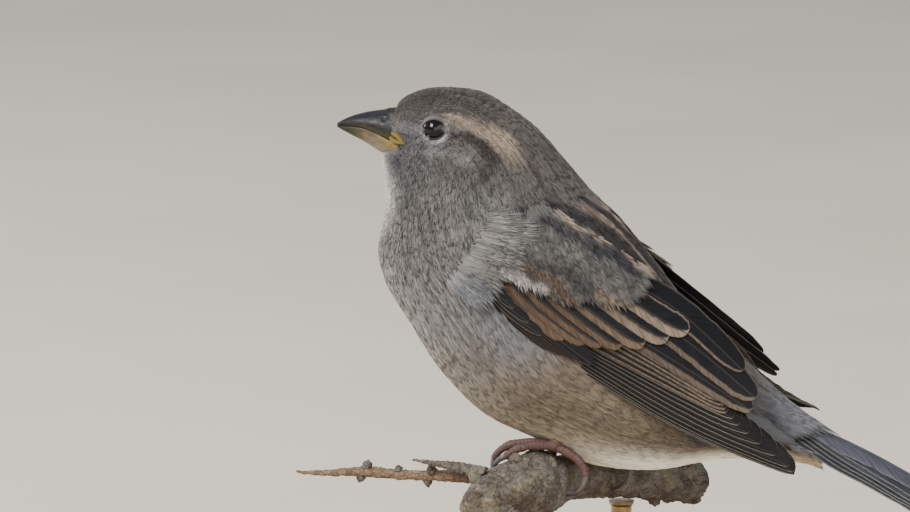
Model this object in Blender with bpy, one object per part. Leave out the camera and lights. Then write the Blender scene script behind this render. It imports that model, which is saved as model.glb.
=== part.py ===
"""House sparrow hen on a cut length of twig, carried by a plain display stand.

Life size, in metres, +Z up. The bird faces -X and its left side faces -Y.
The origin is the middle of the underside of the round base.
"""
import math

import bmesh
import bpy
import numpy as np
from mathutils import Vector
from mathutils.bvhtree import BVHTree

MM = 0.001
GAP = 0.3 * MM                 # clear space between neighbouring solids
HALF_CUT = GAP / 2

# ---- the bird's driving sizes -------------------------------------------------
HEAD_TURN = math.radians(9)    # head turned to the bird's left
NECK_PIVOT_X = -10 * MM        # upright axis that the head turns about
BODY_RING_SIDES = 26
BODY_RINGS_PER_STATION = 2

# Stations down the body: the back point (x, z), the breast point (x, z), the
# half width, how far the widest level lies below the middle, and how much of
# the head's turn the station takes. All in millimetres.
BODY_STATIONS = {
    "bill root":    (-32.4, 121.8, -34.9, 112.8, 3.6, 0.00, 1.0),
    "forehead":     (-30.0, 124.0, -34.7, 110.4, 5.0, 0.05, 1.0),
    "brow":         (-26.0, 125.5, -34.3, 107.2, 7.1, 0.08, 1.0),
    "crown":        (-20.8, 125.8, -34.1, 104.0, 8.9, 0.10, 1.0),
    "hind crown":   (-14.6, 124.9, -34.3, 100.4, 10.1, 0.10, 1.0),
    "nape":         (-8.8, 121.5, -35.0, 97.0, 11.4, 0.08, 0.8),
    "neck":         (-3.4, 117.2, -35.7, 93.4, 13.2, 0.05, 0.5),
    "neck base":    (1.6, 111.6, -35.4, 89.6, 15.4, 0.02, 0.2),
    "shoulders":    (6.6, 105.8, -33.6, 84.8, 17.4, 0.00, 0.0),
    "breast":       (12.6, 100.3, -29.3, 78.4, 18.8, 0.00, 0.0),
    "midriff":      (18.8, 93.0, -23.0, 69.0, 19.3, 0.00, 0.0),
    "belly":        (24.8, 85.4, -14.2, 60.6, 18.8, 0.00, 0.0),
    "hind belly":   (31.0, 78.8, -3.6, 55.8, 17.2, 0.00, 0.0),
    "flank":        (37.2, 73.6, 7.6, 51.0, 14.4, 0.00, 0.0),
    "vent":         (43.0, 68.6, 20.4, 50.2, 10.8, 0.00, 0.0),
    "tail coverts": (48.4, 64.2, 34.6, 53.0, 7.8, 0.00, 0.0),
    "tail root":    (53.5, 60.6, 49.6, 53.4, 5.7, 0.00, 0.0),
}
HEAD_END = "hind crown"
NECK_END = "neck base"

BILL_SIDES = 14
BILL_RINGS = 11
LEAST_BILL = 0.12              # mm of horn at the very tip
# along the bill: x, culmen z, cutting-edge z, lower-edge z, half width
BILL_STATIONS = (
    (-43.8, 118.35, 117.95, 117.70, 0.25),
    (-42.6, 119.05, 117.90, 117.00, 0.80),
    (-40.6, 119.95, 117.95, 116.00, 1.75),
    (-38.2, 120.65, 117.75, 114.90, 2.65),
    (-36.0, 121.05, 117.00, 113.80, 3.30),
    (-33.95, 121.35, 116.10, 112.90, 3.80),
)
BILL_LEAN = 2.5 / 9.0          # the bill's root leans with the face
BILL_LEAN_LEVEL = 118.0        # height at which the stations' x is true, mm

EYE_RADIUS = 2.75 * MM
EYE_CENTRE = (-23.8, 6.5, 118.4)   # head's own frame, millimetres, left and right alike
EYE_SEGMENTS = 14

# ---- wings ---------------------------------------------------------------------
WING_ROWS = 22
WING_COLUMNS = 9
WING_CLEARANCE = 0.55 * MM     # from the trunk, so that flat facets stay clear
WING_THICKNESS = (2.6 * MM, 0.7 * MM)   # at the bend, at the tip
WING_LEAST_PLATE = 0.9 * MM    # what is left of it where the trunk comes close
PROBE_START = 12 * MM          # the trunk is sought from this far outside the wing
PROBE_REACH = 40 * MM
# along the folded wing: lower edge (x, y, z), upper edge (x, y, z), bulge; mm,
# for the left wing with y negative; the right wing is mirrored and raised
WING_STATIONS = (
    (-9.0, -17.4, 86.5, -6.0, -14.6, 97.5, 1.2),
    (-2.4, -19.6, 80.2, 3.5, -12.6, 102.2, 3.2),
    (8.0, -20.4, 73.0, 13.6, -10.2, 97.8, 4.2),
    (19.3, -19.9, 66.9, 23.6, -8.4, 88.8, 4.2),
    (30.7, -18.8, 60.4, 33.0, -8.0, 79.4, 3.4),
    (42.0, -17.5, 56.3, 41.4, -10.6, 69.8, 1.8),
    (48.6, -16.6, 53.6, 47.6, -14.8, 59.8, 0.6),
    (52.1, -16.0, 52.3, 52.3, -15.8, 53.6, 0.0),
)
FAR_TIP_RAISE = 8.0 * MM       # the right wing is folded that much tighter

# ---- tail ----------------------------------------------------------------------
# along the tail: x, z of its middle, half width, half thickness; mm
TAIL_STATIONS = (
    (52.0, 57.2, 5.4, 3.6),
    (56.0, 55.4, 5.7, 2.8),
    (61.5, 52.9, 6.0, 1.8),
    (70.0, 48.9, 6.6, 1.15),
    (79.0, 44.2, 7.3, 0.85),
    (86.2, 40.4, 7.6, 0.6),
)
TAIL_RINGS = 12
TAIL_SIDES = 14
TAIL_CAMBER = 2.4 * MM         # the middle feathers lie above the outer ones
TAIL_NOTCH = 2.0 * MM

# ---- legs and feet -------------------------------------------------------------
TARSUS_RADIUS = 1.05 * MM
TOE_RADIUS = 0.95 * MM
CLAW_RADIUS = 0.62 * MM
TOE_LIFT = 0.25 * MM           # keeps toe facets clear of bark facets
PAD_RADIUS = 1.6 * TOE_RADIUS
TOE_TAPER = (1.12, 0.78)       # of the toe's radius, at its root and at its end
TOE_STEPS = 9
CLAW_STEPS = 7
LEAST_CLAW = 0.12              # mm, the radius of a claw's very tip
# where the toes meet, for the near (left) and the far (right) foot
FOOT_ROOTS = {"left": (1.9, -9.8, 55.8), "right": (6.8, 9.2, 53.7)}
# toe: heading from straight ahead, length, dip at its root, further dip at its end,
# and how late along the toe that bend comes
TOES = {
    "inner": (19, 10.4, -4, 60, 2.4),
    "middle": (0, 13.4, -6, 74, 2.6),
    "outer": (-22, 10.8, -4, 62, 2.2),
    "hind": (174, 9.2, 22, 68, 2.6),
}
CLAW_LENGTH = {"inner": 4.4, "middle": 5.0, "outer": 4.2, "hind": 7.0}
CLAW_BEND = {"inner": 70, "middle": 70, "outer": 70, "hind": 96}    # degrees
LEG_TOP = {"left": (7.4, -7.6, 65.0), "right": (12.0, 7.2, 63.4)}

# ---- perch ---------------------------------------------------------------------
PERCH_SIDES = 11
PERCH_RINGS = 26
# middle line of the twig (x, y, z) and its radius, mm
PERCH_STATIONS = (
    (-10.0, -26.4, 44.8, 4.8),
    (-6.2, -18.6, 47.0, 6.2),
    (-2.2, -10.8, 48.0, 6.6),
    (0.0, -2.0, 47.2, 5.3),
    (2.4, 6.4, 46.8, 5.0),
    (7.0, 14.6, 46.2, 5.3),
    (14.6, 22.0, 44.4, 4.8),
    (24.0, 28.4, 42.0, 4.6),
)
TWIG_STATIONS = (
    (-10.6, -16.8, 50.2, 1.8),
    (-21.0, -16.2, 50.0, 1.25),
    (-29.0, -14.8, 49.6, 1.1),
    (-36.0, -14.0, 49.8, 1.25),
    (-43.0, -12.8, 48.9, 0.8),
    (-50.6, -12.0, 48.7, 0.55),
)
THORN_STATIONS = (
    (-9.6, -20.8, 51.4, 1.8),
    (-17.0, -19.8, 52.8, 1.0),
    (-21.0, -19.0, 53.0, 0.6),
    (-25.0, -18.2, 53.4, 0.28),
)
STUB_STATIONS = (
    (-5.0, -21.0, 46.6, 3.2),
    (-2.2, -25.2, 48.8, 2.9),
    (0.8, -28.6, 51.4, 2.5),
)

# ---- display stand -------------------------------------------------------------
BASE_RADIUS = 48 * MM
BASE_HEIGHT = 9 * MM
BASE_EDGE_ROUND = 2.2 * MM
BASE_EDGE_STEPS = 5
BASE_FOOT_BEVEL = 0.8 * MM
BASE_SEGMENTS = 36
ROD_RADIUS = 1.6 * MM
ROD_FEELER = 1.1 * ROD_RADIUS  # the rod stops short of any bark this near its axis
ROD_SEGMENTS = 16
ROD_PLACES = {"front": (-5.4, -13.6), "back": (9.6, 19.2)}   # x, y in millimetres


def clear_scene():
    """Remove every object that the file opened with."""
    for obj in list(bpy.data.objects):
        bpy.data.objects.remove(obj, do_unlink=True)


def make_material(name, colour, roughness, metallic=0.0):
    """A Principled material of one colour."""
    material = bpy.data.materials.new(name)
    material.use_nodes = True
    shader = material.node_tree.nodes["Principled BSDF"]
    shader.inputs["Base Color"].default_value = (*colour, 1.0)
    shader.inputs["Roughness"].default_value = roughness
    shader.inputs["Metallic"].default_value = metallic
    return material


def add_mesh_object(name, vertices, faces, material, smooth_angle=50):
    """Link a new object with this mesh, faces turned outwards, shaded smooth."""
    mesh = bpy.data.meshes.new(name)
    mesh.from_pydata([tuple(v) for v in vertices], [], faces)
    work = bmesh.new()
    work.from_mesh(mesh)
    bmesh.ops.recalc_face_normals(work, faces=work.faces)
    work.to_mesh(mesh)
    work.free()
    mesh.shade_smooth()
    mesh.set_sharp_from_angle(angle=math.radians(smooth_angle))
    obj = bpy.data.objects.new(name, mesh)
    bpy.context.collection.objects.link(obj)
    mesh.materials.append(material)
    return obj


def smooth_rows(rows, count):
    """Read `count` evenly placed rows from a Catmull-Rom curve through `rows`."""
    rows = np.asarray(rows, dtype=float)
    padded = np.vstack([2 * rows[0] - rows[1], rows, 2 * rows[-1] - rows[-2]])
    out = []
    for place in np.linspace(0, len(rows) - 1, count):
        i = min(int(place), len(rows) - 2)
        t = place - i
        a, b, c, d = padded[i:i + 4]
        out.append(0.5 * (2 * b + (c - a) * t + (2 * a - 5 * b + 4 * c - d) * t ** 2
                          + (3 * b - a - 3 * c + d) * t ** 3))
    return np.array(out)


def loft(rings):
    """Vertices and faces of a closed body through equal rings, with fanned ends."""
    sides = len(rings[0])
    vertices = [tuple(p) for ring in rings for p in ring]
    faces = []
    for r in range(len(rings) - 1):
        for s in range(sides):
            a, b = r * sides + s, r * sides + (s + 1) % sides
            faces.append((a, b, b + sides, a + sides))
    for r, flip in ((0, True), (len(rings) - 1, False)):
        middle = len(vertices)
        vertices.append(tuple(np.mean(rings[r], axis=0)))
        for s in range(sides):
            a, b = r * sides + s, r * sides + (s + 1) % sides
            faces.append((middle, b, a) if flip else (middle, a, b))
    return vertices, faces


def tube_rings(stations, rings, sides, roughness=0.0, seed=0):
    """Round rings along a crooked line whose rows are x, y, z, radius in mm."""
    rows = smooth_rows(stations, rings)
    draw = np.random.default_rng(seed)
    line = rows[:, :3] * MM
    tangents = np.gradient(line, axis=0)
    tangents /= np.linalg.norm(tangents, axis=1)[:, None]
    upright = abs(tangents[0][2]) > 0.9
    side = np.cross(tangents[0], (1.0, 0.0, 0.0) if upright else (0.0, 0.0, 1.0))
    phases = draw.uniform(0, 2 * math.pi, 3)
    out = []
    for i, (point, tangent) in enumerate(zip(line, tangents)):
        side = side - tangent * np.dot(side, tangent)
        side /= np.linalg.norm(side)
        over = np.cross(side, tangent)
        ring = []
        for k in range(sides):
            a = 2 * math.pi * k / sides
            lump = (math.sin(2 * a + 0.55 * i + phases[0]) * 0.5
                    + math.sin(3 * a - 0.8 * i + phases[1]) * 0.35
                    + math.sin(0.9 * i + phases[2]) * 0.4)
            radius = rows[i, 3] * MM * (1 + roughness * lump)
            ring.append(point + radius * (math.cos(a) * side + math.sin(a) * over))
        out.append(np.array(ring))
    return out


def turn_head(points, share):
    """Turn points about the neck's upright axis by a share of the head's turn."""
    angle = HEAD_TURN * share
    c, s = math.cos(angle), math.sin(angle)
    moved = np.array(points, dtype=float)
    dx = moved[:, 0] - NECK_PIVOT_X
    dy = moved[:, 1].copy()
    moved[:, 0] = NECK_PIVOT_X + dx * c - dy * s
    moved[:, 1] = dx * s + dy * c
    return moved


def body_ring(row):
    """One egg-shaped ring of the body, square to the picture of its side."""
    back = np.array([row[0], 0.0, row[1]]) * MM
    breast = np.array([row[2], 0.0, row[3]]) * MM
    middle, half = (back + breast) / 2, (back - breast) / 2
    angles = np.linspace(0, 2 * math.pi, BODY_RING_SIDES, endpoint=False)
    across = np.sin(angles) * (1 - row[5] * np.cos(angles)) * row[4] * MM
    ring = middle + np.cos(angles)[:, None] * half
    ring[:, 1] = across
    return turn_head(ring, row[6])


def body_rings():
    """All rings from bill root to tail root."""
    rows = list(BODY_STATIONS.values())
    count = (len(rows) - 1) * BODY_RINGS_PER_STATION + 1
    return [body_ring(row) for row in smooth_rows(rows, count)]


def pull_back(ring, other, distance):
    """Move an end ring towards its neighbour, to leave half a thin cut."""
    way = np.mean(other, axis=0) - np.mean(ring, axis=0)
    normal = np.cross(ring[0] - ring[len(ring) // 3], ring[0] - ring[2 * len(ring) // 3])
    normal /= np.linalg.norm(normal)
    if np.dot(normal, way) < 0:
        normal = -normal
    return ring + normal * distance


def build_body(materials):
    """Head, neck and trunk, parted from one shape by thin cuts."""
    rings = body_rings()
    names = list(BODY_STATIONS)
    head_end = names.index(HEAD_END) * BODY_RINGS_PER_STATION
    neck_end = names.index(NECK_END) * BODY_RINGS_PER_STATION
    pieces = {}
    spans = {"head": (0, head_end), "neck": (head_end, neck_end), "trunk": (neck_end, len(rings) - 1)}
    for name, (first, last) in spans.items():
        part = [r.copy() for r in rings[first:last + 1]]
        if first > 0:
            part[0] = pull_back(part[0], part[1], HALF_CUT)
        part[-1] = pull_back(part[-1], part[-2], HALF_CUT)
        pieces[name] = add_mesh_object(name, *loft(part), materials[name])
    return pieces, loft(rings)


def bill_ring(x, low, high, half_width, dome, lean):
    """A D-shaped ring: flat along the cutting edge, domed on the other side."""
    points = []
    flat = high if dome < 0 else low
    depth = high - low
    for k in range(BILL_SIDES):
        a = math.pi * k / (BILL_SIDES // 2)
        y = math.cos(a) * half_width
        rise = math.sin(a)
        z = flat + dome * depth * abs(rise) ** 0.9 if rise > 0 else flat - dome * 0.04 * depth * rise
        points.append(((x + lean * (z - BILL_LEAN_LEVEL)) * MM, y * MM, z * MM))
    return np.array(points)


def build_bill(materials):
    """Upper and lower half of the conical bill."""
    rows = smooth_rows(BILL_STATIONS, BILL_RINGS)
    half_gap = GAP / MM / 2
    for name, dome in (("bill_upper", 1), ("bill_lower", -1)):
        rings = []
        for i, (x, culmen, edge, lower, width) in enumerate(rows):
            low, high = (edge + half_gap, culmen) if dome > 0 else (lower, edge - half_gap)
            if high - low < LEAST_BILL:
                low, high = (low, low + LEAST_BILL) if dome > 0 else (high - LEAST_BILL, high)
            lean = BILL_LEAN * (i / (BILL_RINGS - 1)) ** 2
            rings.append(turn_head(bill_ring(x, low, high, width, dome, lean), 1.0))
        add_mesh_object(name, *loft(rings), materials["bill"])


def add_ball(name, centre, radius, material, segments=EYE_SEGMENTS):
    """A closed round ball."""
    mesh = bpy.data.meshes.new(name)
    work = bmesh.new()
    bmesh.ops.create_uvsphere(work, u_segments=segments, v_segments=segments // 2, radius=radius)
    bmesh.ops.translate(work, verts=work.verts, vec=centre)
    work.to_mesh(mesh)
    work.free()
    mesh.shade_smooth()
    mesh.materials.append(material)
    obj = bpy.data.objects.new(name, mesh)
    bpy.context.collection.objects.link(obj)
    return obj


def cut_with(target, cutter):
    """Subtract a hidden cutter from a solid."""
    cutter.hide_render = True
    cutter.display_type = "WIRE"
    boolean = target.modifiers.new("cut " + cutter.name, "BOOLEAN")
    boolean.operation = "DIFFERENCE"
    boolean.solver = "EXACT"
    boolean.object = cutter


def build_eyes(head, materials):
    """Both eyeballs, each in a socket cut in the head."""
    x, y, z = EYE_CENTRE
    for side, sign in (("left", -1), ("right", 1)):
        centre = turn_head([(x * MM, sign * y * MM, z * MM)], 1.0)[0]
        add_ball("eye_" + side, centre, EYE_RADIUS, materials["eye"])
        socket = add_ball("socket_" + side, centre, EYE_RADIUS + GAP, materials["eye"])
        cut_with(head, socket)


def sheet_points(side, raise_tip):
    """Grid of points over the outer face of one folded wing."""
    rows = smooth_rows(WING_STATIONS, WING_ROWS)
    grid = []
    for i, row in enumerate(rows):
        along = i / (WING_ROWS - 1)
        low = np.array(row[0:3]) * MM
        high = np.array(row[3:6]) * MM
        lift = raise_tip * along ** 1.4
        low[2] += lift
        high[2] += lift * along ** 5
        line = []
        for t in np.linspace(0, 1, WING_COLUMNS):
            point = low + (high - low) * t
            point[1] -= row[6] * MM * math.sin(math.pi * t)
            line.append(point)
        grid.append(line)
    grid = np.array(grid)
    if side == "right":
        grid[:, :, 1] *= -1
    return grid


def grid_normals(grid, outward_sign):
    """Outward direction at each point of a wing grid."""
    along = np.gradient(grid, axis=0)
    across = np.gradient(grid, axis=1)
    normals = np.cross(along, across)
    normals /= np.linalg.norm(normals, axis=2)[:, :, None]
    flip = np.sign(normals[:, :, 1]) * outward_sign < 0
    normals[flip] *= -1
    return normals


def build_wing(side, raise_tip, whole_body, material):
    """A folded wing that lies on the trunk and stands free behind it."""
    tree = BVHTree.FromPolygons(*whole_body)
    outer = sheet_points(side, raise_tip)
    normals = grid_normals(outer, 1 if side == "right" else -1)
    least = WING_CLEARANCE + WING_LEAST_PLATE
    inner = np.empty_like(outer)
    for i in range(WING_ROWS):
        along = i / (WING_ROWS - 1)
        plate = WING_THICKNESS[0] + (WING_THICKNESS[1] - WING_THICKNESS[0]) * along
        for j in range(WING_COLUMNS):
            point, normal = Vector(outer[i, j]), Vector(normals[i, j])
            hit, _, _, distance = tree.ray_cast(point + normal * PROBE_START, -normal, PROBE_REACH)
            room = PROBE_REACH if hit is None else distance - PROBE_START
            if room < least:
                point = point + normal * (least - room)
                room = least
            outer[i, j] = point
            depth = min(plate, room - WING_CLEARANCE)
            inner[i, j] = point - normal * depth
    return add_mesh_object("wing_" + side, *close_sheets(outer, inner), material)


def close_sheets(outer, inner):
    """Join two equal grids and their rims into one closed body."""
    rows, columns = outer.shape[:2]
    vertices = [tuple(p) for p in outer.reshape(-1, 3)] + [tuple(p) for p in inner.reshape(-1, 3)]
    shift = rows * columns
    faces = []
    for i in range(rows - 1):
        for j in range(columns - 1):
            a = i * columns + j
            quad = (a, a + 1, a + columns + 1, a + columns)
            faces.append(quad)
            faces.append(tuple(reversed([q + shift for q in quad])))
    rim = [j for j in range(columns)]
    rim += [i * columns + columns - 1 for i in range(1, rows)]
    rim += [(rows - 1) * columns + j for j in range(columns - 2, -1, -1)]
    rim += [i * columns for i in range(rows - 2, 0, -1)]
    for k, a in enumerate(rim):
        b = rim[(k + 1) % len(rim)]
        faces.append((a, b, b + shift, a + shift))
    return vertices, faces


def build_tail(material):
    """The closed tail with its coverts, a thin cambered plate."""
    rings = []
    rows = smooth_rows(TAIL_STATIONS, TAIL_RINGS)
    line = rows[:, :2] * MM
    slopes = np.gradient(line, axis=0)
    for i, (x, z, width, thick) in enumerate(rows):
        along = i / (TAIL_RINGS - 1)
        way = slopes[i] / np.linalg.norm(slopes[i])
        ring = []
        for k in range(TAIL_SIDES):
            a = 2 * math.pi * k / TAIL_SIDES
            y = width * MM * math.copysign(abs(math.cos(a)) ** 0.7, math.cos(a))
            rise = thick * MM * math.copysign(abs(math.sin(a)) ** 0.9, math.sin(a))
            drop = TAIL_CAMBER * (y / (width * MM)) ** 2
            notch = TAIL_NOTCH * along ** 3 * (1 - abs(y) / (width * MM))
            ring.append((x * MM - way[1] * (rise - drop) - way[0] * notch, y,
                         z * MM + way[0] * (rise - drop) - way[1] * notch))
        rings.append(np.array(ring))
    return add_mesh_object("tail", *loft(rings), material)


def dipped(flat, dip):
    """A level heading turned down by an angle."""
    return math.cos(dip) * flat - math.sin(dip) * np.array([0.0, 0.0, 1.0])


def settle_on(tree, points, radii):
    """Lift the points of a round limb that sink into the perch onto its bark."""
    settled = []
    for point, radius in zip(points, radii):
        spot, normal, _, _ = tree.find_nearest(Vector(point) * MM)
        room = (Vector(point) * MM - spot).dot(normal)
        clear = radius * MM + GAP + TOE_LIFT
        settled.append(np.array(spot + normal * clear) / MM if room < clear else np.array(point))
    return np.array(settled)


def toe_path(root, heading, length, dip, bend, lateness):
    """Points of a toe that lies on the perch and bends down over its far side."""
    forward = math.radians(180 + heading)
    flat = np.array([math.cos(forward), math.sin(forward), 0.0])
    points = [np.array(root)]
    step = length / (TOE_STEPS - 1)
    for k in range(1, TOE_STEPS):
        turned = math.radians(dip + bend * ((k - 0.5) / (TOE_STEPS - 1)) ** lateness)
        points.append(points[-1] + step * dipped(flat, turned))
    return np.array(points), flat


def build_foot(side, perch_tree, materials):
    """Three toes ahead, one behind, and a claw at the end of each."""
    root = FOOT_ROOTS[side]
    mirror = 1 if side == "left" else -1
    parts = []
    parts.append(add_ball("pad", np.array(root) * MM, PAD_RADIUS, materials["foot"], 12))
    for toe, (heading, length, dip, bend, lateness) in TOES.items():
        points, flat = toe_path(root, heading * mirror, length, dip, bend, lateness)
        radii = np.linspace(*TOE_TAPER, TOE_STEPS) * TOE_RADIUS / MM
        points = settle_on(perch_tree, points, radii)
        rows = np.column_stack([points, radii])
        parts.append(add_mesh_object("toe_%s_%s" % (side, toe), *loft(tube_rings(rows, TOE_STEPS, 8)),
                                     materials["foot"]))
        end = points[-1] - points[-2]
        end_dip = math.atan2(-end[2], np.dot(end, flat))
        build_claw(side, toe, points[-1], flat, end_dip, perch_tree, materials["claw"])
    union_of(parts, "foot_" + side)
    return parts


def build_claw(side, toe, tip, flat, dip, perch_tree, material):
    """A curved claw that carries on the line of its toe."""
    step = CLAW_LENGTH[toe] / (CLAW_STEPS - 1)
    points = [np.array(tip) + GAP / MM * dipped(flat, dip)]
    for k in range(1, CLAW_STEPS):
        angle = dip + math.radians(CLAW_BEND[toe]) * (k - 1) / (CLAW_STEPS - 2)
        points.append(points[-1] + dipped(flat, angle) * step)
    radii = CLAW_RADIUS / MM * (1 - np.linspace(0, 1, CLAW_STEPS)) ** 0.6 + LEAST_CLAW
    points[1:] = settle_on(perch_tree, points[1:], radii[1:])
    rows = np.column_stack([points, radii])
    add_mesh_object("claw_%s_%s" % (side, toe), *loft(tube_rings(rows, CLAW_STEPS, 6)), material)


def build_leg(side, material):
    """The shank, which goes up into the belly feathers from just above the toes."""
    top, root = np.array(LEG_TOP[side]), np.array(FOOT_ROOTS[side])
    way = (top - root) / np.linalg.norm(top - root)
    start = root + way * (PAD_RADIUS + GAP) / MM
    rows = [(*start, TARSUS_RADIUS / MM), (*((start + top) / 2), TARSUS_RADIUS / MM * 1.05),
            (*top, TARSUS_RADIUS / MM * 1.25)]
    return add_mesh_object("leg_" + side, *loft(tube_rings(rows, 7, 12)), material)


def clear_trunk(trunk, neighbours):
    """Cut the room for legs, feet and perch out of the belly."""
    for piece in neighbours:
        cut_with(trunk, swollen_copy(piece, "clear_trunk_" + piece.name, GAP))


def union_of(objects, name):
    """Merge objects into the first one by exact unions."""
    first = objects[0]
    first.name = name
    for other in objects[1:]:
        other.hide_render = True
        other.display_type = "WIRE"
        boolean = first.modifiers.new("join " + other.name, "BOOLEAN")
        boolean.operation = "UNION"
        boolean.solver = "EXACT"
        boolean.object = other
    return first


def build_perch(materials):
    """A crooked cut length of thorny twig."""
    main = add_mesh_object("perch_branch", *loft(tube_rings(PERCH_STATIONS, PERCH_RINGS,
                                                            PERCH_SIDES, 0.09, 4)), materials["bark"])
    stub = add_mesh_object("stub", *loft(tube_rings(STUB_STATIONS, 5, 10, 0.06, 6)), materials["bark"])
    branch = union_of([main, stub], "perch_branch")
    twig = add_mesh_object("perch_twig", *loft(tube_rings(TWIG_STATIONS, 16, 8, 0.08, 8)),
                           materials["bark"])
    thorn = add_mesh_object("perch_thorn", *loft(tube_rings(THORN_STATIONS, 7, 8)), materials["bark"])
    for piece in (twig, thorn):
        cut_with(piece, swollen_copy(main, "clear_" + piece.name, GAP))
    return branch


def swollen_copy(obj, name, grow):
    """A hidden copy of an object's own mesh, swollen outwards."""
    copy = bpy.data.objects.new(name, obj.data.copy())
    bpy.context.collection.objects.link(copy)
    swell = copy.modifiers.new("swell", "DISPLACE")
    swell.strength = grow
    swell.mid_level = 0.0
    return copy


def level_ring(x, y, radius, z, count):
    """Points of a level circle about (x, y)."""
    angles = np.linspace(0, 2 * math.pi, count, endpoint=False)
    return np.column_stack([x + radius * np.cos(angles), y + radius * np.sin(angles), np.full(count, z)])


def build_stand(perch, materials):
    """A turned round base and two rods that reach up to the perch."""
    profile = [(BASE_RADIUS - BASE_FOOT_BEVEL, 0), (BASE_RADIUS, BASE_FOOT_BEVEL)]
    for a in np.linspace(0, math.pi / 2, BASE_EDGE_STEPS):
        profile.append((BASE_RADIUS - BASE_EDGE_ROUND * (1 - math.cos(a)),
                        BASE_HEIGHT - BASE_EDGE_ROUND * (1 - math.sin(a))))
    rings = [level_ring(0, 0, radius, z, BASE_SEGMENTS) for radius, z in profile]
    add_mesh_object("stand_base", *loft(rings), materials["base"], smooth_angle=35)
    tree = BVHTree.FromObject(perch, bpy.context.evaluated_depsgraph_get())
    for name, (x, y) in ROD_PLACES.items():
        x, y = x * MM, y * MM
        feelers = [(x, y, BASE_HEIGHT)] + list(level_ring(x, y, ROD_FEELER, BASE_HEIGHT, 8))
        hits = [tree.ray_cast(Vector(feeler), Vector((0, 0, 1)))[0] for feeler in feelers]
        top = min(hit.z for hit in hits if hit is not None) - GAP
        rings = [level_ring(x, y, ROD_RADIUS, z, ROD_SEGMENTS) for z in (BASE_HEIGHT + GAP, top)]
        add_mesh_object("stand_rod_" + name, *loft(rings), materials["rod"], smooth_angle=35)


def main():
    """Build every solid."""
    clear_scene()
    materials = {
        "head": make_material("head feathers", (0.12, 0.10, 0.09), 0.8),
        "neck": make_material("neck feathers", (0.17, 0.15, 0.13), 0.8),
        "trunk": make_material("breast feathers", (0.24, 0.20, 0.16), 0.8),
        "wing": make_material("wing feathers", (0.09, 0.06, 0.045), 0.7),
        "tail": make_material("tail feathers", (0.10, 0.09, 0.08), 0.7),
        "bill": make_material("bill horn", (0.09, 0.08, 0.07), 0.4),
        "eye": make_material("eye", (0.01, 0.007, 0.005), 0.1),
        "foot": make_material("foot skin", (0.22, 0.13, 0.09), 0.5),
        "claw": make_material("claw horn", (0.12, 0.10, 0.10), 0.4),
        "bark": make_material("bark", (0.14, 0.11, 0.08), 0.9),
        "base": make_material("turned wood", (0.10, 0.05, 0.025), 0.4),
        "rod": make_material("brass rod", (0.55, 0.42, 0.20), 0.3, 1.0),
    }
    pieces, whole_body = build_body(materials)
    build_bill(materials)
    build_eyes(pieces["head"], materials)
    build_wing("left", 0.0, whole_body, materials["wing"])
    build_wing("right", FAR_TIP_RAISE, whole_body, materials["wing"])
    build_tail(materials["tail"])
    perch = build_perch(materials)
    perch_tree = BVHTree.FromObject(perch, bpy.context.evaluated_depsgraph_get())
    neighbours = [perch]
    for side in ("left", "right"):
        neighbours += build_foot(side, perch_tree, materials)
        neighbours.append(build_leg(side, materials["foot"]))
    clear_trunk(pieces["trunk"], neighbours)
    build_stand(perch, materials)


main()
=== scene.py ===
"""Looks of a house sparrow hen on her twig: skin, plumage, horn, bark, display stand and studio.

Sizes are millimetres and angles degrees unless a name says otherwise. Meshes are written
in metres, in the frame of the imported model: +Z up, the hen faces -X, her left is -Y.
"""
import logging
from dataclasses import dataclass, field, replace
from enum import Enum
from math import atan2, ceil, cos, pi, radians, sin, sqrt
from typing import Callable, Protocol, Sequence, Union

import bpy
import numpy as np
from mathutils import Matrix, Vector, noise
from mathutils.bvhtree import BVHTree


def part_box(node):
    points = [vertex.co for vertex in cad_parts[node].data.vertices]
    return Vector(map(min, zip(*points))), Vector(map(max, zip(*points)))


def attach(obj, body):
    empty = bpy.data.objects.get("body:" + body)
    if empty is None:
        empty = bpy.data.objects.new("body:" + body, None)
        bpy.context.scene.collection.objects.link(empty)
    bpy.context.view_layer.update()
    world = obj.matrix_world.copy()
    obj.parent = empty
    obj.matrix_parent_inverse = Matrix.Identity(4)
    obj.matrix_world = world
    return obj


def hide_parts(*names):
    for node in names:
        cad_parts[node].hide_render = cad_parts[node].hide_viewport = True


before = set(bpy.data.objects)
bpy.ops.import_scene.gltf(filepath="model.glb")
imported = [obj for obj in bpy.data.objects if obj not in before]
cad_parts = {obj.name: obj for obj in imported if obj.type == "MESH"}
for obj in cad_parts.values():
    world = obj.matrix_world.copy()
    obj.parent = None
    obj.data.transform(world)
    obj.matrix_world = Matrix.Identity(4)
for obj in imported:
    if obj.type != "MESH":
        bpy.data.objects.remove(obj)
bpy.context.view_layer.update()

# short names for the types that signatures share
Array = np.ndarray
Pair, Triple, Colour = tuple[float, float], tuple[float, float, float], tuple[float, float, float]
Places, Table = tuple[tuple[float, float], ...], tuple[tuple[float, ...], ...]
Dressed = tuple[bpy.types.Object, tuple[str, ...]]
Axes = tuple[Array, Array, Array, Array]
Chart = Callable[[Array, Array], Array]
Material, Piece, Socket = bpy.types.Material, bpy.types.Object, bpy.types.NodeSocket
Input = Union[Socket, float, Array, Sequence[float]]

MM = 0.001
TAU = 2 * pi
log = logging.getLogger("sparrow")


# ---- numbers and colours ----

def ease(low: float, high: float, value: Array) -> Array:
    """0 below low, 1 past high and a smooth rise between; low may also lie above high."""
    t = np.clip((value - low) / (high - low), 0.0, 1.0)
    return t * t * (3 - 2 * t)


def tone(red: float, green: float, blue: float) -> Array:
    """Linear colour from display values of 0 to 255."""
    value = np.array([red, green, blue], dtype=float) / 255
    return np.where(value <= 0.04045, value / 12.92, ((value + 0.055) / 1.055) ** 2.4)


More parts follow.
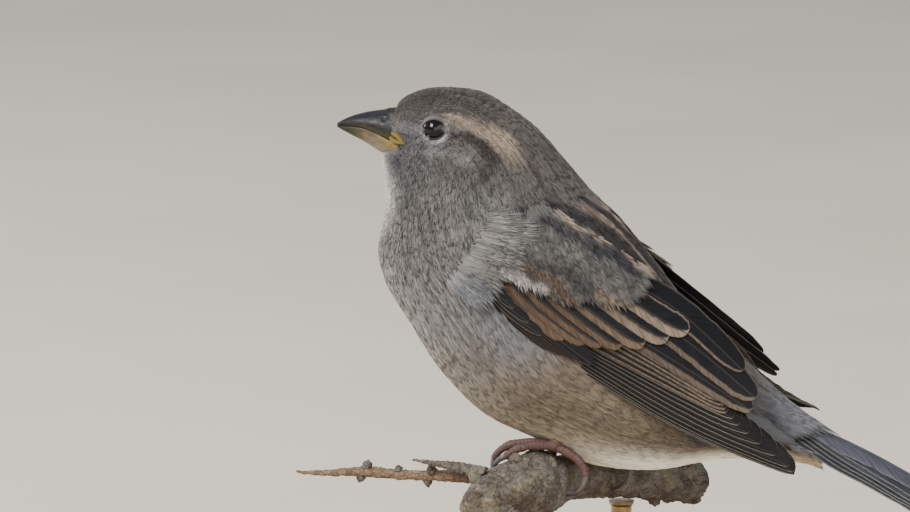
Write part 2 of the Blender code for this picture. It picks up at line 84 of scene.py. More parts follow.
def dye(red: float, green: float, blue: float) -> Array:
    """A dataclass field that starts as a colour, from display values of 0 to 255."""
    return field(default_factory=lambda: tone(red, green, blue))


def blend(first: Array, second: Array, share: Array) -> Array:
    """Mix two colours, or arrays of them, by a share for each point."""
    share = np.asarray(share)[..., None]
    return first * (1 - share) + second * share


def layered(colour: Array, *layers: tuple[Array, Array]) -> Array:
    """Lay paints over a colour; each comes with its share for each point."""
    for paint, share in layers:
        colour = blend(colour, paint, share)
    return colour


def washed(place: Array, colour: Array, *steps: tuple[Array, float, float]) -> Array:
    """Go over from colour to colour; each comes with where it starts and where it is full."""
    return layered(colour, *((paint, ease(low, high, place)) for paint, low, high in steps))


def round_angles(count: int) -> Array:
    """Even angles round a full turn, in radians."""
    return np.linspace(0, TAU, count, endpoint=False)


def off_back(angle: Array) -> Array:
    """Degrees away from the middle of the back, 0 to 180, on either side."""
    return np.degrees(np.abs((angle + pi) % TAU - pi))


def unit(vectors: Array) -> Array:
    """Vectors of length one."""
    return vectors / np.maximum(np.linalg.norm(vectors, axis=-1, keepdims=True), 1e-12)


@dataclass(frozen=True)
class Rail:
    """A Catmull-Rom curve through rows of numbers.

    Args:
        rows: The rows that the curve goes through, at places 0, 1, 2 and so on.
    """

    rows: Sequence[Sequence[float]]

    def at(self, place: Array) -> Array:
        """Read the curve.

        Args:
            place: Places along it; those past its ends go on in the end's direction.

        Returns:
            One row for each place.
        """
        rows = np.asarray(self.rows, dtype=float)
        padded = np.vstack([2 * rows[0] - rows[1], rows, 2 * rows[-1] - rows[-2]])
        place = np.asarray(place, dtype=float)
        first = np.clip(np.floor(place).astype(int), 0, len(rows) - 2)
        t = (place - first)[..., None]
        a, b, c, d = (padded[first + k] for k in range(4))
        return 0.5 * (2 * b + (c - a) * t + (2 * a - 5 * b + 4 * c - d) * t ** 2
                      + (3 * b - a - 3 * c + d) * t ** 3)


@dataclass(frozen=True)
class Stroke:
    """A marking drawn as a soft brush stroke on the side view of the head.

    Args:
        points: x, z and half width at each point of the stroke.
        soft: How far its border fades.
    """

    points: Sequence[Triple]
    soft: float = 0.5

    def cover(self, x: Array, z: Array) -> Array:
        """How much of the stroke lies on each place, 0 to 1."""
        nearest = np.full(np.shape(x), 1e9)
        for (ax, az, aw), (bx, bz, bw) in zip(self.points[:-1], self.points[1:]):
            length = (bx - ax) ** 2 + (bz - az) ** 2
            t = np.clip(((x - ax) * (bx - ax) + (z - az) * (bz - az)) / length, 0, 1)
            away = np.hypot(x - ax - t * (bx - ax), z - az - t * (bz - az))
            nearest = np.minimum(nearest, away - aw - t * (bw - aw))
        return 1 - ease(-self.soft, self.soft, nearest)


# ---- meshes ----

def placed(name: str, data: bpy.types.ID) -> Piece:
    """A new object in the scene."""
    obj = bpy.data.objects.new(name, data)
    bpy.context.scene.collection.objects.link(obj)
    return obj


@dataclass
class MeshData:
    """Points, faces and what is painted on them, before they become a piece.

    Args:
        points: Places in millimetres.
        faces: Groups of faces, each an array with one row of point numbers per face.
        tint: A colour for each point.
        places: Unwrap place for each corner of each face, in the order of the groups.
        values: Further numbers for each point, three to a point, by name.
    """

    points: Array
    faces: list[Array]
    tint: Array | None = None
    places: Array | None = None
    values: dict[str, Array] = field(default_factory=dict)

    def piece(self, name: str, *materials: Material) -> Piece:
        """Make the object.

        Args:
            name: The piece's name.
            materials: What it is dressed in.

        Returns:
            The object, which sits at the origin with its place in its mesh.
        """
        mesh = bpy.data.meshes.new(name)
        corners = np.concatenate([group.reshape(-1) for group in self.faces]).astype(np.int32)
        sizes = np.concatenate([np.full(len(group), group.shape[1]) for group in self.faces])
        starts = np.concatenate([[0], np.cumsum(sizes)[:-1]]).astype(np.int32)
        mesh.vertices.add(len(self.points))
        mesh.vertices.foreach_set("co", (self.points * MM).astype(np.float32).reshape(-1))
        mesh.loops.add(len(corners))
        mesh.loops.foreach_set("vertex_index", corners)
        mesh.polygons.add(len(sizes))
        mesh.polygons.foreach_set("loop_start", starts)
        mesh.polygons.foreach_set("use_smooth", np.full(len(sizes), True))
        mesh.update(calc_edges=True)
        if self.tint is not None:
            rgba = np.column_stack([self.tint, np.ones(len(self.tint))]).astype(np.float32)
            mesh.attributes.new("tint", "FLOAT_COLOR", "POINT").data.foreach_set("color", rgba.reshape(-1))
        for key, numbers in self.values.items():
            layer = mesh.attributes.new(key, "FLOAT_VECTOR", "POINT")
            layer.data.foreach_set("vector", numbers.astype(np.float32).reshape(-1))
        if self.places is not None:
            spots = mesh.uv_layers.new(name="OFBake").data
            spots.foreach_set("uv", self.places.astype(np.float32).reshape(-1))
        for material in materials:
            mesh.materials.append(material)
        return placed(name, mesh)


def grid_faces(rows: int, columns: int, closed: bool = False) -> Array:
    """Quads of a grid of points.

    Args:
        rows: Rows of points.
        columns: Points in a row.
        closed: Whether each row is a ring.

    Returns:
        Faces that look along (next row) x (next column).
    """
    r, c = np.meshgrid(np.arange(rows - 1), np.arange(columns if closed else columns - 1), indexing="ij")
    after = (c + 1) % columns
    return np.stack([r * columns + c, (r + 1) * columns + c, (r + 1) * columns + after,
                     r * columns + after], axis=-1).reshape(-1, 4)


def tube(line: Array, radii: Array, sides: int, shape: Chart | None = None) -> MeshData:
    """A closed round limb along a line.

    Args:
        line: Points of its middle line.
        radii: Its radius at each.
        sides: Points round a ring.
        shape: Gives a factor on the radius from the share along and the angle round, where
            a quarter turn is the upper side.

    Returns:
        The mesh, with a fan at each end.
    """
    tangents = unit(np.gradient(line, axis=0))
    side = np.cross((0.0, 0.0, 1.0), tangents[0])
    if np.linalg.norm(side) < 0.3:
        side = np.cross(tangents[0], (0.0, 1.0, 0.0))
    angle = round_angles(sides)
    rings = []
    for k, (point, tangent) in enumerate(zip(line, tangents)):
        side = unit(side - tangent * np.dot(side, tangent))
        over = np.cross(tangent, side)
        factor = np.ones(sides) if shape is None else shape(k / (len(line) - 1), angle)
        ring = np.cos(angle)[:, None] * side + np.sin(angle)[:, None] * over
        rings.append(point + (radii[k] * factor)[:, None] * ring)
    return loft(np.array(rings))


def loft(rings: Array) -> MeshData:
    """A closed body through equal rings, with a fan at each end."""
    count, sides = rings.shape[:2]
    points = np.vstack([rings.reshape(-1, 3), rings[0].mean(axis=0), rings[-1].mean(axis=0)])
    k = np.arange(sides)
    after = (k + 1) % sides
    last = (count - 1) * sides
    first_fan = np.stack([np.full(sides, count * sides), k, after], axis=-1)
    last_fan = np.stack([np.full(sides, count * sides + 1), last + after, last + k], axis=-1)
    data = MeshData(points, [grid_faces(count, sides, closed=True), first_fan, last_fan])
    middle = rings.mean(axis=1)
    out = np.cross(rings[1, 0] - rings[0, 0], rings[0, 1] - rings[0, 0])
    if np.dot(out, rings[0, 0] - middle[0]) < 0:
        data.faces = [group[:, ::-1] for group in data.faces]
    return data


def joined(parts: Sequence[MeshData]) -> MeshData:
    """Several meshes as one, with all that is painted on them."""
    def whole(layers: list[Array | None]) -> Array | None:
        """One painted layer of all the parts."""
        return None if layers[0] is None else np.vstack(layers)
    shift, faces = 0, []
    for part in parts:
        faces += [group + shift for group in part.faces]
        shift += len(part.points)
    values = {key: np.vstack([part.values[key] for part in parts]) for key in parts[0].values}
    return MeshData(whole([part.points for part in parts]), faces, whole([part.tint for part in parts]),
                    whole([part.places for part in parts]), values)


# ---- finishes ----

class Graph:
    """The nodes of one material, ending in a Principled shader."""

    def __init__(self, name: str) -> None:
        """Start a material with nothing but its shader and output."""
        self.material = bpy.data.materials.new(name)
        self.material.use_nodes = True
        self.tree = self.material.node_tree
        self.shader = self.tree.nodes["Principled BSDF"]

    def add(self, kind: str, inputs: dict | None = None, **settings: object) -> bpy.types.Node:
        """Add a node.

        Args:
            kind: Its type, without the ShaderNode in front.
            inputs: A value or another node's output for inputs by name or number.
            settings: The node's own settings.

        Returns:
            The node.
        """
        node = self.tree.nodes.new("ShaderNode" + kind)
        for key, value in settings.items():
            setattr(node, key, value)
        for key, value in (inputs or {}).items():
            self.feed(node.inputs[key], value)
        return node

    def feed(self, socket: Socket, value: Input) -> None:
        """Set an input to a value, or link another node's output to it."""
        if isinstance(value, Socket):
            self.tree.links.new(value, socket)
        elif socket.type == "RGBA":
            socket.default_value = (*value, 1.0)
        else:
            socket.default_value = value

    def shade(self, **inputs: Input) -> None:
        """Feed the shader's inputs, named with underscores for their spaces."""
        for key, value in inputs.items():
            self.feed(self.shader.inputs[key.replace("_", " ")], value)

    def attribute(self, name: str, output: str = "Color") -> Socket:
        """The colour or vector painted on the mesh under this name."""
        return self.add("Attribute", attribute_name=name).outputs[output]

    def numbers(self, name: str) -> Sequence[Socket]:
        """The three numbers of a vector painted on the mesh."""
        return self.add("SeparateXYZ", {0: self.attribute(name, "Vector")}).outputs

    def place(self, scale: Triple = (1.0, 1.0, 1.0), turn: Triple = (0.0, 0.0, 0.0)) -> Socket:
        """Object coordinates, scaled and turned."""
        coordinate = self.add("TexCoord").outputs["Object"]
        return self.add("Mapping", {"Vector": coordinate, "Scale": scale, "Rotation": turn}).outputs[0]

    def noise(self, scale: float, detail: float = 3.0, vector: Input | None = None,
              roughness: float = 0.5) -> Socket:
        """Grey noise; scale counts its lumps in a metre of the vector."""
        vector = self.add("TexCoord").outputs["Object"] if vector is None else vector
        return self.add("TexNoise", {"Vector": vector, "Scale": scale, "Detail": detail,
                                     "Roughness": roughness}).outputs["Fac"]

    def math(self, operation: str, first: Input, second: Input = 0.0) -> Socket:
        """One sum on numbers."""
        return self.add("Math", {0: first, 1: second}, operation=operation).outputs[0]

    def plus(self, first: Input, second: Input) -> Socket:
        """Their sum."""
        return self.math("ADD", first, second)

    def times(self, first: Input, second: Input) -> Socket:
        """Their product."""
        return self.math("MULTIPLY", first, second)

    def rest(self, share: Input) -> Socket:
        """What a share leaves of one."""
        return self.math("SUBTRACT", 1.0, share)

    def span(self, value: Input, low: float, high: float, to_low: float = 0.0,
             to_high: float = 1.0) -> Socket:
        """A number carried smoothly from one range to another."""
        return self.add("MapRange", {"Value": value, "From Min": low, "From Max": high, "To Min": to_low,
                                     "To Max": to_high}, interpolation_type="SMOOTHSTEP").outputs[0]

    def mix(self, share: Input, first: Input, second: Input, way: str = "MIX") -> Socket:
        """Mix two colours."""
        node = self.add("Mix", data_type="RGBA", blend_type=way)
        for index, value in ((0, share), (6, first), (7, second)):
            self.feed(node.inputs[index], value)
        return node.outputs[2]

    def grey(self, value: Input) -> Socket:
        """A number as a grey colour."""
        return self.add("CombineColor", {0: value, 1: value, 2: value}).outputs[0]

    def shaded(self, colour: Input, share: Input) -> Socket:
        """A colour times a number."""
        return self.mix(1.0, colour, self.grey(share), "MULTIPLY")

    def bump(self, height: Input, strength: float, distance: float) -> None:
        """Give the shader a bump; the distance is in millimetres."""
        node = self.add("Bump", {"Height": height, "Strength": strength, "Distance": distance * MM})
        self.shade(Normal=node.outputs[0])


@dataclass(frozen=True)
class Finish:
    """A named material; each kind adds nodes of its own."""

    name: str

    def build(self) -> Material:
        """Make the material."""
        graph = Graph(self.name)
        self.wire(graph)
        return graph.material

    def wire(self, g: Graph) -> None:
        """Add the nodes."""
        raise NotImplementedError


@dataclass(frozen=True)
class Plumage(Finish):
    """Soft feathers whose markings are painted on the mesh.

    Args:
        roughness: How matt the barbs are.
        sheen: How much light their edges catch.
        mottle: How strongly fine noise varies the colour.
    """

    roughness: float = 0.72
    sheen: float = 0.12
    mottle: float = 0.05

    def wire(self, g: Graph) -> None:
        """Add the nodes."""
        fine = g.span(g.noise(5200, 2), 0.3, 0.7, 1 - self.mottle, 1 + self.mottle)
        broad = g.span(g.noise(520, 3), 0.3, 0.7, 1 - self.mottle * 0.5, 1 + self.mottle * 0.5)
        colour = g.shaded(g.attribute("tint"), g.times(fine, broad))
        g.shade(Base_Color=colour, Roughness=self.roughness, Specular_IOR_Level=0.2,
                Sheen_Weight=self.sheen, Sheen_Roughness=0.45, Sheen_Tint=(1, 0.96, 0.9))
        g.bump(g.noise(9000, 2), 0.15, 0.03)


@dataclass(frozen=True)
class Skin(Finish):
    """Bare or thinly covered skin, painted on the mesh."""

    name: str = "skin"

    def wire(self, g: Graph) -> None:
        """Add the nodes."""
        grain = g.span(g.noise(2600, 4), 0.3, 0.7, 0.8, 1.15)
        g.shade(Base_Color=g.shaded(g.attribute("tint"), grain), Roughness=0.68,
                Specular_IOR_Level=0.35, Subsurface_Weight=0.05, Subsurface_Scale=0.3 * MM)
        g.bump(g.noise(5200, 4), 0.5, 0.06)


@dataclass(frozen=True)
class Vane(Finish):
    """Firm feathers: dark centres, paler fringes, a shaft of its own dark brown and fine barbs.

    The mesh carries the colours "tint" (centre) and "fringe", and the numbers "reach"
    (distance to the outer edge, the inner edge and the tip), "web" (distance from the
    shaft, distance along, a number of its own) and "trim" (width of the outer fringe, of
    the inner one, and of the one at the tip).
    """

    name: str = "vane"
    barb_pitch: float = 0.24
    barb_slant: float = 2.0

    def wire(self, g: Graph) -> None:
        """Add the nodes."""
        reach, web, trim = (g.numbers(name) for name in ("reach", "web", "trim"))
        slanted = g.math("SUBTRACT", web[1], g.times(g.math("ABSOLUTE", web[0]), self.barb_slant))
        along_barbs = g.add("CombineXYZ", {0: g.times(slanted, 1.7), 1: g.times(web[0], 0.55),
                                           2: g.times(web[2], 37)}).outputs[0]
        ragged = g.noise(1, 3, along_barbs, 0.6)
        wander = g.math("SUBTRACT", ragged, 0.5)
        torn = [g.times(wander, g.span(trim[k], 0, 1.5, 0.25, 1.15)) for k in range(3)]
        shares = [g.math("DIVIDE", g.plus(reach[k], torn[k]), trim[k]) for k in range(3)]
        nearest = g.math("MINIMUM", g.math("MINIMUM", shares[0], shares[1]), shares[2])
        edge = g.rest(g.span(nearest, 0.72, 1.12))
        colour = g.mix(edge, g.attribute("tint"), g.attribute("fringe"))
        barb = g.math("SINE", g.times(slanted, TAU / self.barb_pitch))
        lines = g.span(g.plus(g.times(barb, 0.12), ragged), 0.25, 0.78, 0.45, 1.45)
        colour = g.shaded(colour, lines)
        shaft = g.rest(g.span(g.math("ABSOLUTE", web[0]), 0.06, 0.16))
        colour = g.mix(g.times(shaft, 0.75), colour, tone(46, 40, 37))
        g.shade(Base_Color=colour, Roughness=0.6, Specular_IOR_Level=0.12, Sheen_Weight=0.02,
                Sheen_Roughness=0.4)
        height = g.plus(g.times(barb, 0.3), g.plus(ragged, shaft))
        g.bump(height, 0.45, 0.06)


@dataclass(frozen=True)
class Horn(Finish):
    """Satin horn, painted on the mesh, with faint growth lines."""

    name: str = "horn"
    roughness: float = 0.42

    def wire(self, g: Graph) -> None:
        """Add the nodes."""
        lines = g.noise(1, 4, g.place((700, 2200, 2600)), 0.6)
        cloud = g.noise(900, 3)
        shade = g.plus(g.span(lines, 0.3, 0.7, -0.14, 0.14), g.span(cloud, 0.3, 0.7, 0.86, 1.16))
        g.shade(Base_Color=g.shaded(g.attribute("tint"), shade),
                Roughness=g.span(cloud, 0.3, 0.7, self.roughness - 0.05, self.roughness + 0.14),
                Specular_IOR_Level=0.22)
        g.bump(g.plus(lines, g.noise(4200, 3)), 0.3, 0.05)


@dataclass(frozen=True)
class WetEye(Finish):
    """The glossy eyeball; "web" holds the distance from the eye's axis."""

    name: str = "eyeball"
    pupil: float = 1.15
    iris: float = 2.0

    def wire(self, g: Graph) -> None:
        """Add the nodes."""
        out = g.numbers("web")[0]
        flecks = g.span(g.noise(4200, 4), 0.35, 0.65, 0.6, 1.5)
        brown = g.shaded(tone(10, 7, 6), flecks)
        colour = g.mix(g.span(out, self.pupil - 0.12, self.pupil + 0.18), tone(4, 4, 5), brown)
        colour = g.mix(g.span(out, self.iris - 0.25, self.iris + 0.1), colour, tone(14, 11, 11))
        g.shade(Base_Color=colour, Roughness=0.2, Specular_IOR_Level=0.1, Coat_Weight=1.0,
                Coat_Roughness=0.02, Coat_IOR=1.28)


@dataclass(frozen=True)
class Bark(Finish):
    """Weathered bark: grey skin over brown, dark cracks and pale crusts of lichen.

    Args:
        young: How much of the smoother, redder bark of young wood shows.
        crust: How much lichen.
    """

    young: float = 0.0
    crust: float = 0.5

    def wire(self, g: Graph) -> None:
        """Add the nodes."""
        patches = g.noise(260, 6, roughness=0.62)
        grain = g.noise(1500, 5, roughness=0.65)
        old = g.mix(g.span(patches, 0.38, 0.62), tone(62, 55, 47), tone(92, 89, 84))
        red = g.mix(g.span(grain, 0.35, 0.6), tone(92, 64, 44), tone(128, 102, 76))
        colour = g.mix(self.young, old, red)
        cells = g.add("TexVoronoi", {"Vector": g.place((0.6, 0.6, 1)), "Scale": 900.0},
                      feature="DISTANCE_TO_EDGE").outputs["Distance"]
        crack = g.times(g.rest(g.span(cells, 0, 0.1)), g.span(grain, 0.4, 0.6))
        colour = g.mix(g.times(crack, 0.7), colour, tone(28, 22, 19))
        lichen = g.span(g.noise(340, 5, g.place((1, 1, 1), (0.3, 0.2, 0.9)), 0.7), 0.53, 0.6)
        ochre = g.mix(g.span(grain, 0.4, 0.6), tone(98, 84, 50), tone(128, 122, 102))
        colour = g.mix(g.times(lichen, self.crust), colour, ochre)
        speck = g.span(g.noise(2300, 3, roughness=0.7), 0.6, 0.68)
        colour = g.mix(g.times(speck, 0.4), colour, tone(140, 138, 134))
        g.shade(Base_Color=colour, Roughness=g.span(grain, 0.3, 0.7, 0.72, 0.95), Specular_IOR_Level=0.3)
        height = g.math("SUBTRACT", g.plus(grain, g.times(patches, 0.7)), crack)
        g.bump(height, 0.8, 0.22)


@dataclass(frozen=True)
class TurnedWood(Finish):
    """Waxed dark wood with its grain across the base."""

    name: str = "turned wood"

    def wire(self, g: Graph) -> None:
        """Add the nodes."""
        warped = g.noise(14, 3, g.place((1, 5, 5)))
        rings = g.noise(1, 4, g.add("VectorMath", {0: g.place((26, 420, 260)), 1: g.grey(warped)},
                                    operation="ADD").outputs[0], 0.6)
        pores = g.noise(1, 2, g.place((320, 3400, 3400)), 0.6)
        colour = g.mix(g.span(rings, 0.3, 0.68), tone(92, 58, 36), tone(139, 95, 60))
        colour = g.mix(g.span(pores, 0.58, 0.7, 0, 0.6), colour, tone(48, 30, 20))
        g.shade(Base_Color=colour, Roughness=g.span(rings, 0.3, 0.7, 0.3, 0.42), Coat_Weight=0.25,
                Coat_Roughness=0.2)
        g.bump(g.plus(pores, g.times(rings, 0.5)), 0.25, 0.08)


@dataclass(frozen=True)
class Brass(Finish):
    """Satin brass, drawn lengthways and a little dull."""

    name: str = "satin brass"

    def wire(self, g: Graph) -> None:
        """Add the nodes."""
        drawn = g.noise(1, 3, g.place((5200, 5200, 120)), 0.6)
        dull = g.noise(160, 4)
        colour = g.mix(g.span(dull, 0.42, 0.66), tone(176, 154, 112), tone(128, 108, 74))
        g.shade(Base_Color=colour, Metallic=1.0, Roughness=g.span(dull, 0.3, 0.7, 0.24, 0.42))
        g.bump(drawn, 0.12, 0.03)


@dataclass(frozen=True)
class Floor(Finish):
    """Plain pale paper under the stand."""

    name: str = "pale floor"

    def wire(self, g: Graph) -> None:
        """Add the nodes."""
        cloud = g.noise(9, 3)
        g.shade(Base_Color=g.mix(g.span(cloud, 0.3, 0.7), tone(205, 196, 180), tone(211, 202, 187)),
                Roughness=0.9, Specular_IOR_Level=0.2)


# ---- forms that feathers lie on ----

class Form(Protocol):
    """A surface with two coordinates and a height over it."""

    outward: float

    def face(self, first: Array, second: Array) -> Array:
        """Points of the bare surface, in millimetres."""

    def settle(self, points: Array, first: Array) -> Array:
        """Where points of the still form end up."""


def frame_on(form: Form, first: Array, second: Array) -> Axes:
    """The surface and its directions at some places.

    Args:
        form: The surface.
        first: First coordinates.
        second: Second coordinates.

    Returns:
        The points, how they move with each coordinate, and the outward normals.
    """
    step = 0.02
    along = (form.face(first + step, second) - form.face(first - step, second)) / (2 * step)
    across = (form.face(first, second + step) - form.face(first, second - step)) / (2 * step)
    normal = unit(np.cross(along, across)) * form.outward
    return form.face(first, second), along, across, normal


def raised(form: Form, first: Array, second: Array, height: Array) -> Array:
    """Points at a height in millimetres over a form, where they end up."""
    point, _, _, normal = frame_on(form, first, second)
    return form.settle(point + normal * np.asarray(height)[..., None], first)


@dataclass(frozen=True)
class BodyForm:
    """The outer shape of the plumage, from the bill's root to the tail's.

    The first coordinate counts the stations and the second is the angle round the body,
    0 on the back and a half turn on the breast, with the bird's right positive.

    Args:
        stations: Back point x and z, breast point x and z, half width, how far the widest
            level lies below the middle, and how much of the head's turn it takes.
        turn: The head's turn to the bird's left, in degrees.
        pivot: x of the upright axis that it turns about.
        brow: x, z and height of the swelling round each eye.
    """

    stations: Table = (
        (-32.4, 121.8, -34.9, 112.8, 3.6, 0, 1),
        (-30, 124, -34.7, 110.4, 5, 0.05, 1),
        (-26, 125.5, -34.3, 107.2, 7.1, 0.08, 1),
        (-20.8, 125.8, -34.1, 104, 8.9, 0.1, 1),
        (-14.6, 124.9, -34.3, 100.4, 10.1, 0.1, 1),
        (-8.8, 121.5, -35, 97, 11.4, 0.08, 0.8),
        (-3.4, 117.2, -35.7, 93.4, 13.2, 0.05, 0.5),
        (1.6, 111.6, -35.4, 89.6, 15.4, 0.02, 0.2),
        (6.6, 105.8, -33.6, 84.8, 17.4, 0, 0),
        (12.6, 100.3, -29.3, 78.4, 18.8, 0, 0),
        (18.8, 93, -23, 69, 19.3, 0, 0),
        (24.8, 85.4, -14.2, 60.6, 18.8, 0, 0),
        (31, 78.8, -3.6, 55.8, 17.2, 0, 0),
        (37.2, 73.6, 7.6, 51, 14.4, 0, 0),
        (43, 68.6, 20.4, 50.2, 10.8, 0, 0),
        (48.4, 64.2, 34.6, 53, 7.8, 0, 0),
        (53.5, 60.8, 49.6, 52.8, 5.7, 0, 0),
        (60.5, 56.4, 58, 50.2, 5.6, 0, 0),
        (68.5, 52, 67.6, 47.8, 5, 0, 0),
    )
    turn: float = 9.0
    pivot: float = -10.0
    brow: Triple = (-24.4, 119.1, 0.6)
    outward: float = 1.0

    def rows(self, station: Array) -> Array:
        """The stations' numbers, read smoothly."""
        return Rail(self.stations).at(np.clip(station, -0.2, len(self.stations) - 1))

    def face(self, first: Array, second: Array) -> Array:
        """Points of the plumage's outside, before the head is turned."""
        row = self.rows(first)
        cosine, sine = np.cos(second), np.sin(second)
        x = (row[..., 0] + row[..., 2]) / 2 + cosine * (row[..., 0] - row[..., 2]) / 2
        z = (row[..., 1] + row[..., 3]) / 2 + cosine * (row[..., 1] - row[..., 3]) / 2
        y = sine * (1 - row[..., 5] * cosine) * row[..., 4]
        from_brow = np.hypot(x - self.brow[0], z - self.brow[1])
        swell = self.brow[2] * np.exp(-(from_brow / 3.2) ** 2) * ease(3, 5, np.abs(y))
        return np.stack([x, y + np.sign(y) * swell, z], axis=-1)

    def settle(self, points: Array, first: Array) -> Array:
        """Turn points with the head, by their station's share of its turn."""
        return self.turned(points, self.rows(first)[..., 6])

    def turned(self, points: Array, share: Array | float = 1.0) -> Array:
        """Turn points about the neck's upright axis by a share of the head's turn."""
        angle = radians(self.turn) * share
        dx, y = points[..., 0] - self.pivot, points[..., 1]
        return np.stack([self.pivot + dx * np.cos(angle) - y * np.sin(angle),
                         dx * np.sin(angle) + y * np.cos(angle), points[..., 2]], axis=-1)


class Side(Enum):
    """Which wing, leg or eye."""

    LEFT = -1
    RIGHT = 1

    @property
    def word(self) -> str:
        """The name used in piece names."""
        return self.name.lower()


@dataclass
class WingForm:
    """The outer face of a folded wing, fitted smoothly through its solid.

    The first coordinate runs along the folded wing from its bend and the second up across
    it, both in millimetres.

    Args:
        side: Which wing.
        raised_tip: How far its tip is lifted by folding it tighter.
        origin: x and z of the chart's origin.
        dip: How far the wing's line dips towards its tip, in degrees.
        stiffness: How much the fit smooths.
        low_edge: Chart places of the solid's lower edge at even shares of its length.
    """

    side: Side
    raised_tip: float = 0.0
    origin: Pair = (-8.5, 93.7)
    dip: float = 34.3
    stiffness: float = 2.0
    low_edge: Places = ((3.6, -6.2), (12.7, -7.7), (25.3, -7.8), (38.1, -6.5),
                        (51.1, -5.4), (62.8, -2.4), (69.8, -1), (73.4, 0))
    outward: float = field(init=False)

    def __post_init__(self) -> None:
        """Feel the solid wing from outside and fit a thin plate through what is felt."""
        self.outward = -self.side.value
        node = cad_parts["wing_" + self.side.word]
        corners = [tuple(v.co / MM) for v in node.data.vertices]
        tree = BVHTree.FromPolygons(corners, [tuple(p.vertices) for p in node.data.polygons])
        felt = []
        for a in np.arange(-1.0, 74.0, 3.6):
            for b in np.arange(-9.0, 14.0, 2.2):
                x, z = self.side_view(np.array(a), np.array(b))
                hit = tree.ray_cast(Vector((x, self.side.value * 60.0, z)),
                                    Vector((0, -self.side.value, 0)))[0]
                if hit is not None:
                    felt.append((a, b, hit.y))
        solid = np.array(felt)
        for a in np.arange(66.0, 82.0, 3.6):
            for b in np.arange(-6.0, 7.0, 2.2):
                gap = np.hypot(solid[:, 0] - a, solid[:, 1] - b)
                if gap.min() > 2.4:
                    felt.append((a, b, solid[gap.argmin(), 2]))
        self._knots = np.array(felt)[:, :2]
        count = len(felt)
        kernel = self._kernel(self._knots) + self.stiffness * np.eye(count)
        plane = np.column_stack([np.ones(count), self._knots])
        system = np.block([[kernel, plane], [plane.T, np.zeros((3, 3))]])
        self._weights = np.linalg.solve(system, np.concatenate([np.array(felt)[:, 2], np.zeros(3)]))

    def _kernel(self, places: Array) -> Array:
        """Thin-plate terms from each knot at each place."""
        square = ((places[:, None, :] - self._knots[None, :, :]) ** 2).sum(axis=-1)
        return 0.5 * square * np.log(square + 1e-9) * 1e-2

    def side_view(self, a: Array, b: Array) -> tuple[Array, Array]:
        """x and z of places on the chart."""
        dip = radians(self.dip)
        x = self.origin[0] + a * cos(dip) + b * sin(dip)
        z = self.origin[1] - a * sin(dip) + b * cos(dip)
        low = np.array(self.low_edge)
        share = np.interp(a + 0.5 * (b + 5), low[:, 0], np.linspace(0, 1, len(low)))
        return x, z + self.raised_tip * share ** 1.2 * (1 - np.clip((b + 3.0) / 13.0, 0, 1))

    def face(self, first: Array, second: Array) -> Array:
        """Points of the folded wing's outside."""
        first, second = np.broadcast_arrays(np.asarray(first, float), np.asarray(second, float))
        shape = first.shape
        places = np.column_stack([first.reshape(-1), second.reshape(-1)])
        y = np.concatenate([self._kernel(part) @ self._weights[:-3]
                            for part in np.array_split(places, max(1, len(places) // 20000))])
        y += self._weights[-3] + places @ self._weights[-2:]
        y -= self.side.value * 0.12 * np.maximum(places[:, 1] - 9.0, 0) ** 2 * ease(8, 20, places[:, 0])
        x, z = self.side_view(places[:, 0], places[:, 1])
        return np.column_stack([x, y, z]).reshape(*shape, 3)

    def settle(self, points: Array, first: Array) -> Array:
        """The wing stays where it is."""
        return points


@dataclass(frozen=True)
class TailForm:
    """The closed tail: along it from the rump, and across it, both in millimetres.

    Args:
        line: x and z of its middle line from rump to end.
        camber: How far its sides hang below its middle.
        half_width: The width at which they do.
    """

    line: Places = ((46, 62.2), (52, 59.7), (61.5, 55.7), (70, 51.5),
                    (79.0, 46.5), (86.2, 42.2), (90.0, 39.9))
    camber: float = 4.6
    half_width: float = 7.0
    outward: float = 1.0

    def face(self, first: Array, second: Array) -> Array:
        """Points of the tail's middle sheet."""
        dense = Rail(self.line).at(np.linspace(0, len(self.line) - 1, 200))
        run = np.concatenate([[0], np.cumsum(np.linalg.norm(np.diff(dense, axis=0), axis=1))])
        x = np.interp(first, run, dense[:, 0])
        hang = self.camber * (1.3 - 0.3 * ease(5, 30, first)) * (1 - 0.5 * ease(31, 44, first))
        z = np.interp(first, run, dense[:, 1]) - hang * (second / self.half_width) ** 2
        return np.stack([x, np.broadcast_to(second, np.shape(x)), z], axis=-1)

    def settle(self, points: Array, first: Array) -> Array:
        """The tail stays where it is."""
        return points


# ---- markings ----

